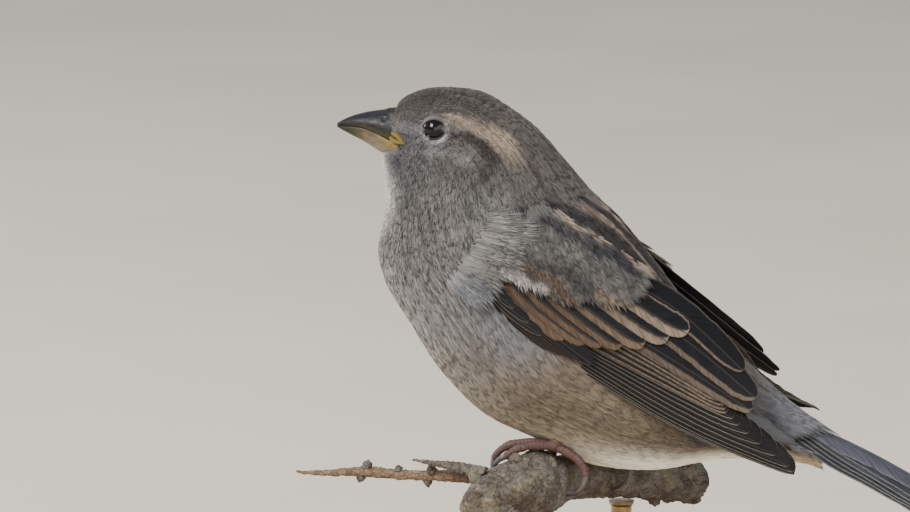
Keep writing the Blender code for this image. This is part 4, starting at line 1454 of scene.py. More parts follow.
@dataclass(frozen=True)
class Wing:
    """A folded wing: flight feathers, coverts, alula and the soft feathers of its shoulder.

    The chart's first coordinate runs from the bend to the wing tip and its second up across
    the wing. Every inner feather overlies the next one out.

    Args:
        side: Which wing.
        form: The surface of its solid.
        step: Height between one feather and the next.
    """

    side: Side
    form: WingForm
    step: float = 0.1
    dark: Array = dye(19, 18, 17)
    darkest: Array = dye(18, 18, 20)
    pale_edge: Array = dye(118, 110, 101)
    buff_edge: Array = dye(118, 103, 88)
    chestnut: Array = dye(80, 64, 50)
    grey: Array = dye(84, 82, 79)
    white: Array = dye(164, 158, 155)
    wisp: Array = dye(110, 107, 104)

    white_band: Stroke = Stroke(((3.4, -0.4, 0.9), (7, 0.3, 1.2), (11.6, 1.7, 0.9)), 0.5)
    brown_band: Stroke = Stroke(((4, 2.4, 0.6), (9, 3.5, 0.9), (14, 3.7, 1.2), (18, 2.8, 0.8)), 0.6)
    dark_band: Stroke = Stroke(((0.5, 3.2, 0.6), (4, 4.2, 0.5), (10, 5.6, 0.7), (14.6, 6.9, 1.2),
                                (18, 6.3, 1.2), (20.5, 4.8, 0.7)), 0.8)
    brown_patch: Stroke = Stroke(((21, 7, 1), (25.5, 7.4, 0.9)), 0.8)
    black_streak: Stroke = Stroke(((3, 12, 0.8), (10, 12.9, 1.3), (17, 13.4, 1.2), (24, 13.2, 0.6)), 0.3)
    buff_streak: Stroke = Stroke(((5, 14.4, 0.9), (15.6, 14.8, 1), (28, 13.8, 0.3)), 0.5)

    def quills(self) -> list[Quill]:
        """Every vaned feather, from the lowest layer to the highest."""
        return self._flight() + self._front() + self._tertials() + self._greater_coverts()

    def _row(self, roots: Array, middles: Array, tips: Array, layers: Pair, webs: Pair,
             trim: Triple, centre: Array, fringe: Array, point: float) -> list[Quill]:
        """Feathers of one row, from the outermost to the innermost."""
        return [Quill((tuple(r), tuple(m), tuple(t)), webs,
                      (layers[0] + k * self.step, layers[1] + k * self.step), centre, fringe, trim, point)
                for k, (r, m, t) in enumerate(zip(roots, middles, tips))]

    def _flight(self) -> list[Quill]:
        """Nine long primaries that make the wing's tip, and six secondaries in a warm panel."""
        middles = [(47, b) for b in (-4.7, -4.4, -3.9, -3.1, -2.1, -1.1, -0.1, 0.8, 1.6)]
        tips = ((71.6, -0.4), (72.3, 0), (71.9, 0.4), (70.4, 0.7), (67.1, 1.1), (63.4, 1.4), (60.4, 1.9),
                (57.9, 2.2), (56.2, 2.6))
        primaries = self._row(row_between((14, -7.9), (18, -2.6), 9), middles, tips, (-2.6, -2.2),
                              (0.85, 4.2), (0.13, 0.06, 0.1), self.dark, self.pale_edge, 8.0)
        return primaries + self._row(
            row_between((12, -3.2), (14, 4), 6), row_between((36, 0.5), (34, 4.4), 6, (0, 0.3)),
            row_between((54.6, 2.9), (50, 4.9), 6, (0.5, 0)), (-1.7, -1.25), (1, 4), (0.42, 0.08, 0.16),
            self.dark, self.buff_edge * 0.6, 4.0)

    def _front(self) -> list[Quill]:
        """Dark pointed coverts on the primaries' roots, and the alula at the wing's bend."""
        coverts = self._row(
            row_between((2, -5.6), (6, -3), 7), row_between((11, -7), (17, -4.4), 7),
            row_between((19.5, -7.3), (27.6, -4.7), 7), (-1.6, -1.25), (0.9, 2.2), (0.12, 0.05, 0.06),
            self.darkest, self.chestnut * 0.8, 3.0)
        return coverts + self._row(
            ((0, -4.6), (0.5, -3.8), (1, -3)), ((9, -6.1), (7, -5.2), (5, -4.4)),
            ((16.2, -5.9), (12.6, -5.3), (8.6, -4.8)), (-0.75, -0.65), (0.7, 1.5), (0.12, 0.04, 0.06),
            self.darkest, self.buff_edge * 0.8, 3.0)

    def _tertials(self) -> list[Quill]:
        """Three broad feathers that cover the folded wing's back edge."""
        rows = (((16, 3.9), (37, 4.9), (58.2, 5.3), 1.7, 2.6, 1),
                ((14, 8), (36, 8.9), (57.4, 7.5), 2.5, 2.6, 0.9),
                ((12, 10.6), (32, 12), (52.2, 9.9), 1.7, 2.2, 0.42))
        return [Quill(tuple(path), (outer, inner), (-0.95 + 0.1 * k, -0.5 + 0.25 * k), self.darkest,
                      self.buff_edge * 0.5, (fringe, 0.2, 0.24), 7.0)
                for k, (*path, outer, inner, fringe) in enumerate(rows)]

    def _greater_coverts(self) -> list[Quill]:
        """Black-centred feathers with broad chestnut edges, paler towards the body."""
        tips = Rail(((16.6, -4.6), (20.4, -3.7), (24.2, -2.1), (27.2, -0.5), (30.4, 1.4), (33.8, 3.9),
                     (36.8, 6.8), (39.0, 9.6))).at(np.linspace(0, 7, 8))
        roots = Rail(((1, -3.9), (2.4, -3), (4.6, -1.6), (7.6, 0), (11, 1.8), (15, 4.2), (19, 7.2),
                      (23.0, 9.6))).at(np.linspace(0, 7, 8))
        middles = (roots + tips) / 2 + np.array([0.0, -0.25])
        row = self._row(roots, middles, tips, (-1.1, -0.75), (1.7, 2.2), (1.2, 0.3, 0.35), self.darkest,
                        self.chestnut, 3.6)
        return [replace(quill, fringe=blend(self.chestnut, self.buff_edge, ease(4, 7, np.array(k))),
                        trim=(2.6 if k < 2 else 1.5, 0.3, 0.35)) for k, quill in enumerate(row)]

    def paint(self, a: Array, b: Array, still: Array, draw: Array) -> Array:
        """Colours of the soft feathers on the shoulder."""
        level = b + (0.25 * draw + 0.3 * np.sin(a * 0.9))
        bands = ((self.dark_band, tone(46, 42, 42), 0.9), (self.brown_band, self.chestnut, 0.9),
                 (self.brown_patch, tone(120, 102, 84), 0.7), (self.white_band, self.white, 0.95),
                 (self.buff_streak, tone(142, 126, 108), 0.9), (self.black_streak, tone(40, 39, 44), 0.95))
        return layered(blend(self.grey * 0.9, self.grey, ease(2, 9, b)),
                       *((paint, band.cover(a, level) * share) for band, paint, share in bands))

    def pale(self, a: Array, b: Array, still: Array, draw: Array) -> Array:
        """Colours of the breast's loose feathers that hang over the wing's front edge."""
        loose = blend(tone(98, 100, 105), self.wisp, ease(-5.5, -2.5, b))
        return blend(tone(116, 112, 109), loose, ease(-4.5, -1, a))

    def soft(self, spans: tuple[Pair, Pair], feathers: int, lift: float, size: Pair,
             turn: Callable[[Array], Array], paint: Callable, seed: int, locks: int = 20,
             slant: float = 0.45, floor: Callable[[Array], Array] = lambda a: a * 0 - 99) -> MeshData:
        """Soft feathers laid over part of the wing.

        Args:
            spans: Their reach along and across the chart.
            feathers: How many.
            lift: Height of their ends over the form.
            size: Length and width of each.
            turn: Turn of their lie, in degrees, from the second coordinate.
            paint: Gives their colours.
            seed: Seed of their small differences.
            locks: Locks in each.
            slant: How their streaks fall, across over along.
            floor: The lowest second coordinate of a root, from its first.

        Returns:
            The mesh.
        """
        dice = np.random.default_rng(seed)
        roots = scatter(self.form, spans[0], spans[1], feathers, lambda a, b: (b > floor(a)) * 1.0)
        vary = dice.uniform(0.85, 1.15, feathers)
        _, along, across, _ = frame_on(self.form, roots[:, 0], roots[:, 1])
        angle = np.radians(turn(roots[:, 1]) + dice.normal(0, 5, feathers))[:, None]
        heading = unit(unit(along) * np.cos(angle) + unit(across) * np.sin(angle))
        return Fans(self.form, roots, heading, size[0] * vary, size[1] * vary, locks, 0.19, 0.6,
                    lift + dice.normal(0, 0.05, feathers), paint, dice.uniform(-1, 1, feathers), seed,
                    grain=(4.0, 0.28, slant, 0.42)).build()

    def build(self, soft_finish: Material, vane_finish: Material) -> list[Piece]:
        """Make the wing's pieces.

        Args:
            soft_finish: Material of the soft feathers.
            vane_finish: Material of the firm ones.

        Returns:
            The pieces; the first stands for the solid wing.
        """
        word = self.side.word
        firm = VaneSet(self.form, self.quills(), 31 + self.side.value).build()
        lesser = self.soft(((-4, 15), (-1, 7)), 330, 0.45, (5.4, 3.2), lambda b: b * 0 - 24, self.paint,
                           41, floor=lambda a: 0.9 + 0.26 * a)
        shoulder = self.soft(((-2, 22), (5.5, 14.5)), 360, 0.55, (7.4, 3.6), lambda b: b * 0 - 24,
                             self.paint, 43, 22, floor=lambda a: 5.5 + 0.5 * np.maximum(a - 13, 0))
        wisps = self.soft(((-7.5, -2), (-7, 6)), 90, 0.75, (8.5, 4.6),
                          lambda b: np.interp(b, (-7, -3, 2, 6), (-6, 6, 22, 34)),
                          self.pale, 47, 22, slant=-0.25)
        return [firm.piece("wing_vanes_" + word, vane_finish),
                lesser.piece("wing_lesser_coverts_" + word, soft_finish),
                shoulder.piece("wing_scapulars_" + word, soft_finish),
                wisps.piece("coat_breast_wisps_" + word, soft_finish)]


@dataclass(frozen=True)
class Tail:
    """Twelve tail feathers folded over one another, the middle pair on top."""

    form: TailForm = TailForm()
    step: float = 0.16
    # the middle pair's colour, its blue cast a painted sheen
    centre: Array = dye(66, 67, 74)
    # colour of the lowest feathers: their own dark brown with painted shade beneath the middle pair
    dark_shaded_under: Array = dye(34, 33, 36)
    edge: Array = dye(106, 106, 107)

    def build(self, finish: Material) -> Piece:
        """Make the tail as one piece."""
        quills = []
        for rank in range(5, -1, -1):
            for way in (-1.0, 1.0):
                layer = 0.55 - rank * self.step + (0.05 if way < 0 else 0.0)
                out = way * (1.2 + 4.6 * (rank / 5) ** 0.35)
                reach = 43.6 - 1.1 * (1 - rank / 5)
                path = ((4.0, way * (1.0 + rank * 0.68)), (24.0, out * 0.95), (reach, out))
                webs = (2.8, 2.5) if rank == 0 else (1.35, 3.0)
                # lower layers get darker as painted shade, the top pair bluer as a painted sheen
                colour = blend(self.centre, self.dark_shaded_under, ease(0, 3, np.array(rank)))
                trim = (0.16, 0.1, 0.2)
                quills.append(Quill(path, webs, (layer, layer), colour, self.edge, trim, 4.0, -way))
        return VaneSet(self.form, quills, 57, rows=24, camber=0.1).build().piece("tail_feathers", finish)


# ---- head, legs and skin ----

@dataclass(frozen=True)
class Eyes:
    """Both eyeballs with their lids.

    Args:
        centre: x, distance from the middle, and z of an eyeball in the unturned head.
        radius: Radius of the ball.
        opening: Half length and half height between the lids.
        tilt: How far the eye's axis points forward, in degrees.
    """

    centre: Triple = (-23.8, 6.4, 118.4)
    radius: float = 2.75
    opening: Pair = (2.12, 1.76)
    tilt: float = 4.0

    def axes(self, side: Side) -> Axes:
        """An eye's centre, and its directions to the back of the head, up, and out."""
        lean = radians(self.tilt)
        out = np.array([-sin(lean), side.value * cos(lean), 0.08])
        back = np.array([cos(lean), side.value * sin(lean), 0.0])
        out, back = unit(out), unit(back)
        up = np.array([0.0, 0.0, 1.0]) - 0.08 * out
        centre = np.array([self.centre[0], side.value * self.centre[1], self.centre[2]])
        return centre, back, unit(up), out

    def ball(self, side: Side, finish: Material) -> Piece:
        """Make one eyeball from a ball whose front is drawn out into a slight cornea.

        Args:
            side: Which eye.
            finish: Its material.

        Returns:
            The piece.
        """
        centre, _, _, out = self.axes(side)
        place = BODY.turned(centre) * MM
        away = unit(BODY.turned(centre + out) - BODY.turned(centre))
        bpy.ops.object.select_all(action="DESELECT")
        bpy.ops.mesh.primitive_uv_sphere_add(segments=64, ring_count=40, radius=self.radius * MM,
                                             location=place)
        ball = bpy.context.active_object
        ball.name = ball.data.name = "eyeball_" + side.word
        ball.rotation_euler = Vector(away).to_track_quat("Z", "Y").to_euler()
        bpy.ops.object.transform_apply(location=True, rotation=True, scale=True)
        spots = np.array([v.co for v in ball.data.vertices]) / MM - place / MM
        depth = spots @ away
        off_axis = np.linalg.norm(spots - depth[:, None] * away, axis=1)
        ahead = depth > 0
        swell = np.where(ahead, 0.16 * (1 - ease(0.2, 1.9, off_axis)), 0.0)
        for vertex, more in zip(ball.data.vertices, swell):
            vertex.co += Vector(away * more * MM)
        web = ball.data.attributes.new("web", "FLOAT_VECTOR", "POINT")
        for number, (distance, front) in enumerate(zip(off_axis, ahead)):
            web.data[number].vector = (distance if front else self.radius, 0.0, 0.0)
        ball.data.shade_smooth()
        ball.data.materials.append(finish)
        return ball

    def lids(self, side: Side) -> MeshData:
        """Make the bare ring of both lids, pinched into a corner before and behind."""
        centre, back, up, out = self.axes(side)
        count = 72
        angle = round_angles(count)
        pinch = 1 + 0.09 * np.abs(np.cos(angle)) ** 8
        cross = ((0, -0.3), (0, 0.04), (0.04, 0.1), (0.1, 0.12), (0.17, 0.08), (0.25, -0.04),
                 (0.42, -0.26), (0.66, -0.62), (0.9, -1.2), (0.66, -1.45), (0.36, -1.45), (0.16, -0.8))
        cosine, sine = np.cos(angle), np.sin(angle)
        long, high = self.opening[0] * pinch, self.opening[1]
        on_ball = np.sqrt(self.radius ** 2 - np.minimum(np.hypot(long * cosine, high * sine), 2.6) ** 2)
        rings = []
        for away, rise in cross:
            x, z = (long + away) * cosine, (high + away) * sine
            depth = on_ball + rise + 0.03 * np.sin(26 * angle) * (0.1 < away < 0.9)
            rings.append(centre + x[:, None] * back + z[:, None] * up + depth[:, None] * out)
        rings = np.stack(rings, axis=1)
        rows = len(cross)
        faces = grid_faces(count + 1, rows, closed=True) % (count * rows)
        faces = faces[:, ::-1] if side is Side.RIGHT else faces
        shade = np.array([0.1, 0.12, 0.3, 0.5, 0.7, 1.4, 2.5, 2.7, 2.5, 1.0, 0.6, 0.5])
        tint = tone(54, 50, 49) * np.tile(shade, count)[:, None]
        return MeshData(BODY.turned(rings.reshape(-1, 3)), [faces], tint)


EYES = Eyes()


@dataclass(frozen=True)
class Bill:
    """The short conical bill, its two halves meeting along a cutting edge that dips at the gape.

    Args:
        stations: x, culmen z, cutting edge z, lower edge z and half width.
        lean: How far the root leans with the face.
        level: Height at which the stations' x is true.
        nostril: x and z of its middle, half length and half height.
        rings: Rings from tip to root.
        sides: Points in a ring.
        slit: Half the gap between the two halves.
    """

    stations: Table = (
        (-43.8, 118.35, 117.95, 117.7, 0.25), (-42.6, 119.05, 117.9, 117, 0.8),
        (-40.6, 119.95, 117.95, 116, 1.75), (-38.2, 120.65, 117.75, 114.9, 2.65),
        (-36, 121.05, 117.05, 113.8, 3.3), (-33.95, 121.35, 116.3, 112.9, 4),
        (-32.7, 121.5, 115.9, 112.6, 4.5), (-31.4, 121.6, 115.6, 112.5, 5.2),
        (-30.2, 121.65, 115.3, 112.4, 5.9),
    )
    lean: float = 2.5 / 9.0
    level: float = 118.0
    nostril: tuple[float, ...] = (-34.2, 119.6, 0.62, 0.36)
    rings: int = 64
    sides: int = 56
    slit: float = 0.05

    def half(self, dome: int) -> MeshData:
        """Make one half.

        Args:
            dome: 1 for the upper half, -1 for the lower.

        Returns:
            Its mesh, painted.
        """
        place = np.linspace(0, len(self.stations) - 1, self.rings)
        rows = Rail(self.stations).at(place)
        share = np.clip(place / 5.0, 0, 1)
        angle = round_angles(self.sides)
        rise = np.clip(np.sin(angle), 0, 1)
        across = np.cos(angle)
        x, culmen, edge, lower, width = (rows[:, k][:, None] for k in range(5))
        depth = np.maximum(culmen - edge, 0.2) if dome > 0 else np.maximum(edge - lower, 0.2)
        keel = 0.86 if dome > 0 else 0.95
        z = edge + dome * (self.slit + depth * rise ** keel)
        inner = np.sin(angle) < 0
        z = np.where(inner, edge + dome * (self.slit - 0.18 * np.sin(angle) * np.minimum(depth, 1.0)), z)
        belly = 1 + 0.06 * np.sin(np.clip(rise, 0, 1) * pi)
        y = across * width * belly * (1.0 if dome > 0 else 0.94 + 0.14 * ease(4.5, 6.5, place)[:, None])
        z = z + dome * 0.1 * np.exp(-((rise - 0.12) / 0.1) ** 2) * (~inner)
        px = x + self.lean * share[:, None] ** 2 * (z - self.level)
        still = np.stack([np.broadcast_to(px, z.shape), y, z], axis=-1)
        if dome > 0:
            still = self._nostrils(still)
        data = loft(BODY.turned(still))
        middles = still[0].mean(axis=0), still[-1].mean(axis=0)
        data.tint = self._paint(dome, np.vstack([still.reshape(-1, 3), *middles]))
        return data

    def _from_nostril(self, x: Array, z: Array) -> Array:
        """Distance from the nostril's middle, 1 on its rim."""
        return np.hypot((x - self.nostril[0]) / self.nostril[2], (z - self.nostril[1]) / self.nostril[3])

    def _nostrils(self, still: Array) -> Array:
        """Press a nostril into each side near the root."""
        away = self._from_nostril(still[..., 0], still[..., 2])
        dent = 0.42 * (1 - ease(0.5, 1.1, away))
        rim = 0.03 * np.exp(-((away - 1.35) / 0.3) ** 2)
        still = still.copy()
        still[..., 1] -= np.sign(still[..., 1]) * (dent - rim) * (np.abs(still[..., 1]) > 0.6)
        return still

    def _paint(self, dome: int, still: Array) -> Array:
        """Slate-brown above, horn yellow below, dark towards the tip, with painted shade in the nostrils.
        """
        x, z = still[:, 0], still[:, 2]
        over = z - np.interp(x, (-43.8, -38.2, -34), (117.95, 117.75, 116.1))
        if dome > 0:
            to_root = ease(-43.5, -35, x)
            # the nostril is painted near black as painted shade in its opening
            nostril = 1 - ease(0.5, 1.2, self._from_nostril(x, z))
            return layered(blend(tone(19, 19, 22), tone(26, 24, 24), to_root),
                           (tone(32, 33, 40), ease(118.4, 120.9, z) * 0.7),
                           (tone(70, 62, 34), (1 - ease(0.2, 1.3, over)) * to_root * 0.7),
                           (tone(12, 11, 11), nostril * 0.85))
        return layered(tone(38, 37, 22), (tone(96, 83, 64), ease(-41.5, -37, x)),
                       (tone(44, 41, 30), (1 - ease(0.1, 1.3, -over)) * (1 - ease(-36.4, -34.6, x)) * 0.8),
                       (tone(104, 86, 40), ease(-35.4, -33.4, x) * (1 - ease(1.6, 3, -over)) * 0.8),
                       (tone(122, 107, 92), ease(1.2, 3, -over) * ease(-39.5, -36.5, x) * 0.7))

    def gape(self, side: Side) -> MeshData:
        """The soft yellow fold at the corner of the mouth."""
        station = np.linspace(0.95, 2.3, 24)
        share = np.linspace(0, 1, 24)
        parts = []
        for level, way in ((90.0, 1.0), (98.0, -1.0)):
            angle = side.value * np.radians(level + (94.0 - level) * ease(0.35, 1, share))
            line = raised(BODY, station, angle, 0.05 * np.sin(pi * share))
            radii = 0.5 * np.sin(np.linspace(0.35, pi, 24)) ** 0.6 + 0.05
            fold = tube(line, radii, 14,
                        lambda part, turn: 1 + 0.18 * np.cos(2 * turn) + 0.05 * np.sin(9 * part + turn))
            ring = np.repeat(share, 14)
            tint = blend(tone(96, 79, 18), tone(92, 78, 44), ease(0.75, 1, ring) + (way < 0) * 0.3)
            fold.tint = np.vstack([tint, tint[:1], tint[-1:]])
            parts.append(fold)
        return joined(parts)

    def build(self, finish: Material) -> tuple[Piece, Piece]:
        """Make both halves as pieces."""
        return self.half(1).piece("bill_culmen", finish), self.half(-1).piece("bill_mandible", finish)


@dataclass(frozen=True)
class BillForm:
    """The bill's root: millimetres towards its tip, and the angle round it from the culmen."""

    root: float = -33.2
    outward: float = -1.0

    def face(self, first: Array, second: Array) -> Array:
        """Points of the horn, before the head is turned."""
        bill = Bill()
        x = self.root - first
        place = np.interp(x, [row[0] for row in bill.stations], np.arange(len(bill.stations)))
        _, culmen, edge, lower, width = np.moveaxis(Rail(bill.stations).at(place), -1, 0)
        rise = np.abs(np.cos(second))
        z = edge + np.where(np.cos(second) > 0, (culmen - edge) * rise ** 0.86,
                            (lower - edge) * rise ** 0.95)
        x = x + bill.lean * np.clip(place / 5.0, 0, 1) ** 2 * (z - bill.level)
        return np.stack([x, width * np.sin(second) * (1 + 0.06 * np.sin(rise * pi)), z], axis=-1)

    def settle(self, points: Array, first: Array) -> Array:
        """Turn points with the head."""
        return BODY.turned(points)


BILL_ROOT = BillForm()


@dataclass(frozen=True)
class Foot:
    """A bare shank, its toes gripping the perch, and their claws.

    Args:
        side: Which foot.
        root: Where the toes meet.
        top: Where the shank goes into the belly feathers.
    """

    side: Side
    root: Triple
    top: Triple
    toe_radius: float = 0.95
    shank_radius: float = 1.05
    claw_radius: float = 0.62
    clearance: float = 0.22
    toes: tuple[tuple[str, float, float, float, float, float, float, float], ...] = (
        ("inner", 19, 10.4, -4, 60, 2.4, 4.4, 70), ("middle", 0, 13.4, -6, 74, 2.6, 5, 70),
        ("outer", -22, 10.8, -4, 62, 2.2, 4.2, 70), ("hind", 174, 9.2, 22, 68, 2.6, 7, 96),
    )
    steps: int = 57

    @staticmethod
    def _dipped(flat: Array, dip: float) -> Array:
        """A level heading turned down by an angle in radians."""
        return cos(dip) * flat - sin(dip) * np.array([0.0, 0.0, 1.0])

    def _settled(self, perch: BVHTree, points: Array, radii: Array) -> Array:
        """Lift points of a limb that sink into the perch onto its bark."""
        out = []
        for point, radius in zip(points, radii):
            spot, normal, _, _ = perch.find_nearest(Vector(point * MM))
            room = (Vector(point * MM) - spot).dot(normal) / MM
            clear = radius + self.clearance
            out.append(np.array(spot + normal * clear * MM) / MM if room < clear else point)
        out = np.array(out)
        for _ in range(2):
            out[1:-1] = (out[:-2] + 2 * out[1:-1] + out[2:]) / 4
        return out

    def _toe_line(self, perch: BVHTree, heading: float, length: float, dip: float, bend: float,
                  lateness: float) -> tuple[Array, Array, Array]:
        """Points of a toe that bends down over the perch, its radii and its level heading."""
        way = radians(180 + heading * (1 if self.side is Side.LEFT else -1))
        flat = np.array([cos(way), sin(way), 0.0])
        points, step = [np.array(self.root)], length / (self.steps - 1)
        for k in range(1, self.steps):
            turned = radians(dip + bend * ((k - 0.5) / (self.steps - 1)) ** lateness)
            points.append(points[-1] + step * self._dipped(flat, turned))
        radii = np.linspace(1.12, 0.78, self.steps) * self.toe_radius
        return self._settled(perch, np.array(points), radii), radii, flat

    @staticmethod
    def _scutes(scutes: int, depth: float) -> Callable[[float, Array], Array]:
        """Overlapping plates on the upper side and soft pads on the lower one."""
        def shape(share: float, angle: Array) -> Array:
            """The factor on a limb's radius."""
            upper = np.clip(np.sin(angle), 0, 1) ** 0.7
            lower = np.clip(-np.sin(angle), 0, 1)
            plate = (share * scutes) % 1.0
            ridge = depth * (plate ** 1.6 - 0.5) - depth * 1.6 * (plate > 0.9)
            pad = 0.05 * sin(share * pi * 6)
            return 1 + upper * ridge + lower * pad
        return shape

    def _limb(self, line: Array, radii: Array, scutes: int, colour: Array) -> MeshData:
        """A scaled limb, darker between its plates."""
        data = tube(line, radii, 20, self._scutes(scutes, 0.16))
        share = np.repeat(np.linspace(0, 1, len(line)), 20)
        plate = (share * scutes) % 1.0
        dark = ease(0.14, 0, plate) + ease(0.88, 1, plate)
        tint = blend(np.tile(colour, (len(share), 1)), colour * 0.45, np.clip(dark, 0, 1))
        angle = np.tile(round_angles(20), len(line))
        tint = blend(tint, tone(98, 74, 58), np.clip(-np.sin(angle), 0, 1) * 0.6)
        data.tint = np.vstack([tint, tint[:1], tint[-1:]])
        return data

    def flesh(self, perch: BVHTree) -> MeshData:
        """The shank, the ball of the foot and the toes."""
        red, buff = tone(76, 53, 48), tone(90, 63, 45)
        parts = []
        for _, heading, length, dip, bend, lateness, _, _ in self.toes:
            line, radii, _ = self._toe_line(perch, heading, length, dip, bend, lateness)
            swell = 1 + 0.07 * np.cos(np.linspace(0, 3 * TAU, self.steps))
            parts.append(self._limb(line, radii * swell, int(length * 1.35), red))
        top, root = np.array(self.top), np.array(self.root)
        line = root + (top - root) * np.linspace(-0.02, 1.0, 61)[:, None]
        radii = self.shank_radius * np.interp(np.linspace(0, 1, 61), (0, 0.1, 0.3, 1),
                                              (1.25, 1.1, 0.98, 1.15))
        parts.append(self._limb(line, radii, 9, buff))
        pad = tube(root + np.array([0, 0, 1]) * np.linspace(-1.25, 1.25, 15)[:, None],
                   1.5 * np.sqrt(1 - np.linspace(-0.96, 0.96, 15) ** 2), 20)
        pad.tint = np.tile(red * 0.9, (len(pad.points), 1))
        parts.append(pad)
        return joined(parts)

    def claws(self, perch: BVHTree, finish: Material) -> list[Piece]:
        """Make the four claws as pieces."""
        made = []
        for name, heading, length, dip, bend, lateness, claw, curl in self.toes:
            line, _, flat = self._toe_line(perch, heading, length, dip, bend, lateness)
            end = line[-1] - line[-3]
            turned = atan2(-end[2], float(np.dot(end, flat)))
            steps = 28
            points = [line[-1] - 0.35 * self._dipped(flat, turned)]
            for k in range(1, steps):
                angle = turned + radians(curl) * (k - 1) / (steps - 2)
                points.append(points[-1] + self._dipped(flat, angle) * (claw + 0.35) / (steps - 1))
            along = np.linspace(0, 1, steps)
            radii = self.claw_radius * (1 - along) ** 0.62 + 0.07
            line = self._settled(perch, np.array(points), radii)
            data = tube(line, radii, 16, lambda share, angle: 1 - 0.16 * np.abs(np.cos(angle)) ** 2)
            ring = np.repeat(along, 16)
            tint = blend(tone(86, 78, 76), tone(40, 36, 38), ease(0.2, 0.9, ring))
            data.tint = np.vstack([tint, tint[:1], tint[-1:]])
            made.append(data.piece("claw_horn_%s_%s" % (self.side.word, name), finish))
        return made


@dataclass(frozen=True)
class Hide:
    """The one skin under all the feathers, with eye sockets, lids, gape and bare legs.

    Args:
        rings: Rings from the bill's root to the tail.
        sides: Points in a ring.
    """

    rings: int = 170
    sides: int = 112

    def _shell(self) -> MeshData:
        """The skin of head and body, inside the coat by its depth."""
        station = np.linspace(0.0, 16.5, self.rings)
        angle = round_angles(self.sides)
        a, b = np.meshgrid(station, angle, indexing="ij")
        still = BODY.face(a, b)
        sink = np.interp(a, (0, 1, 4, 8, 14, 15, 16.5), (0.32, 0.42, 0.45, 0.5, 0.6, 1.2, 2.4))
        away = np.hypot(still[..., 0] - EYES.centre[0], still[..., 2] - EYES.centre[2])
        socket = 1.9 * (1 - ease(1.5, 2.1, away)) * (np.abs(still[..., 1]) > 4)
        points = raised(BODY, a, b, -sink - socket)
        data = loft(points)
        near_eye = (1 - ease(2.3, 3, away)) * (np.abs(still[..., 1]) > 4)
        tint = MARKINGS.at(a, b, still, np.zeros(a.shape)) * (0.75 + 0.6 * near_eye)[..., None]
        data.tint = np.vstack([tint.reshape(-1, 3), tint[0, 0], tint[-1, 0]])
        return data

    def build(self, feet: Sequence[Foot], perch: BVHTree, finish: Material) -> Piece:
        """Make the skin as one piece.

        Args:
            feet: Both feet.
            perch: The perch's surface, in metres.
            finish: The skin's material.

        Returns:
            The piece.
        """
        parts = [self._shell()]
        parts += [EYES.lids(side) for side in Side]
        parts += [Bill().gape(side) for side in Side]
        parts += [foot.flesh(perch) for foot in feet]
        return joined(parts).piece("skin", finish)


# ---- perch, stand and studio ----

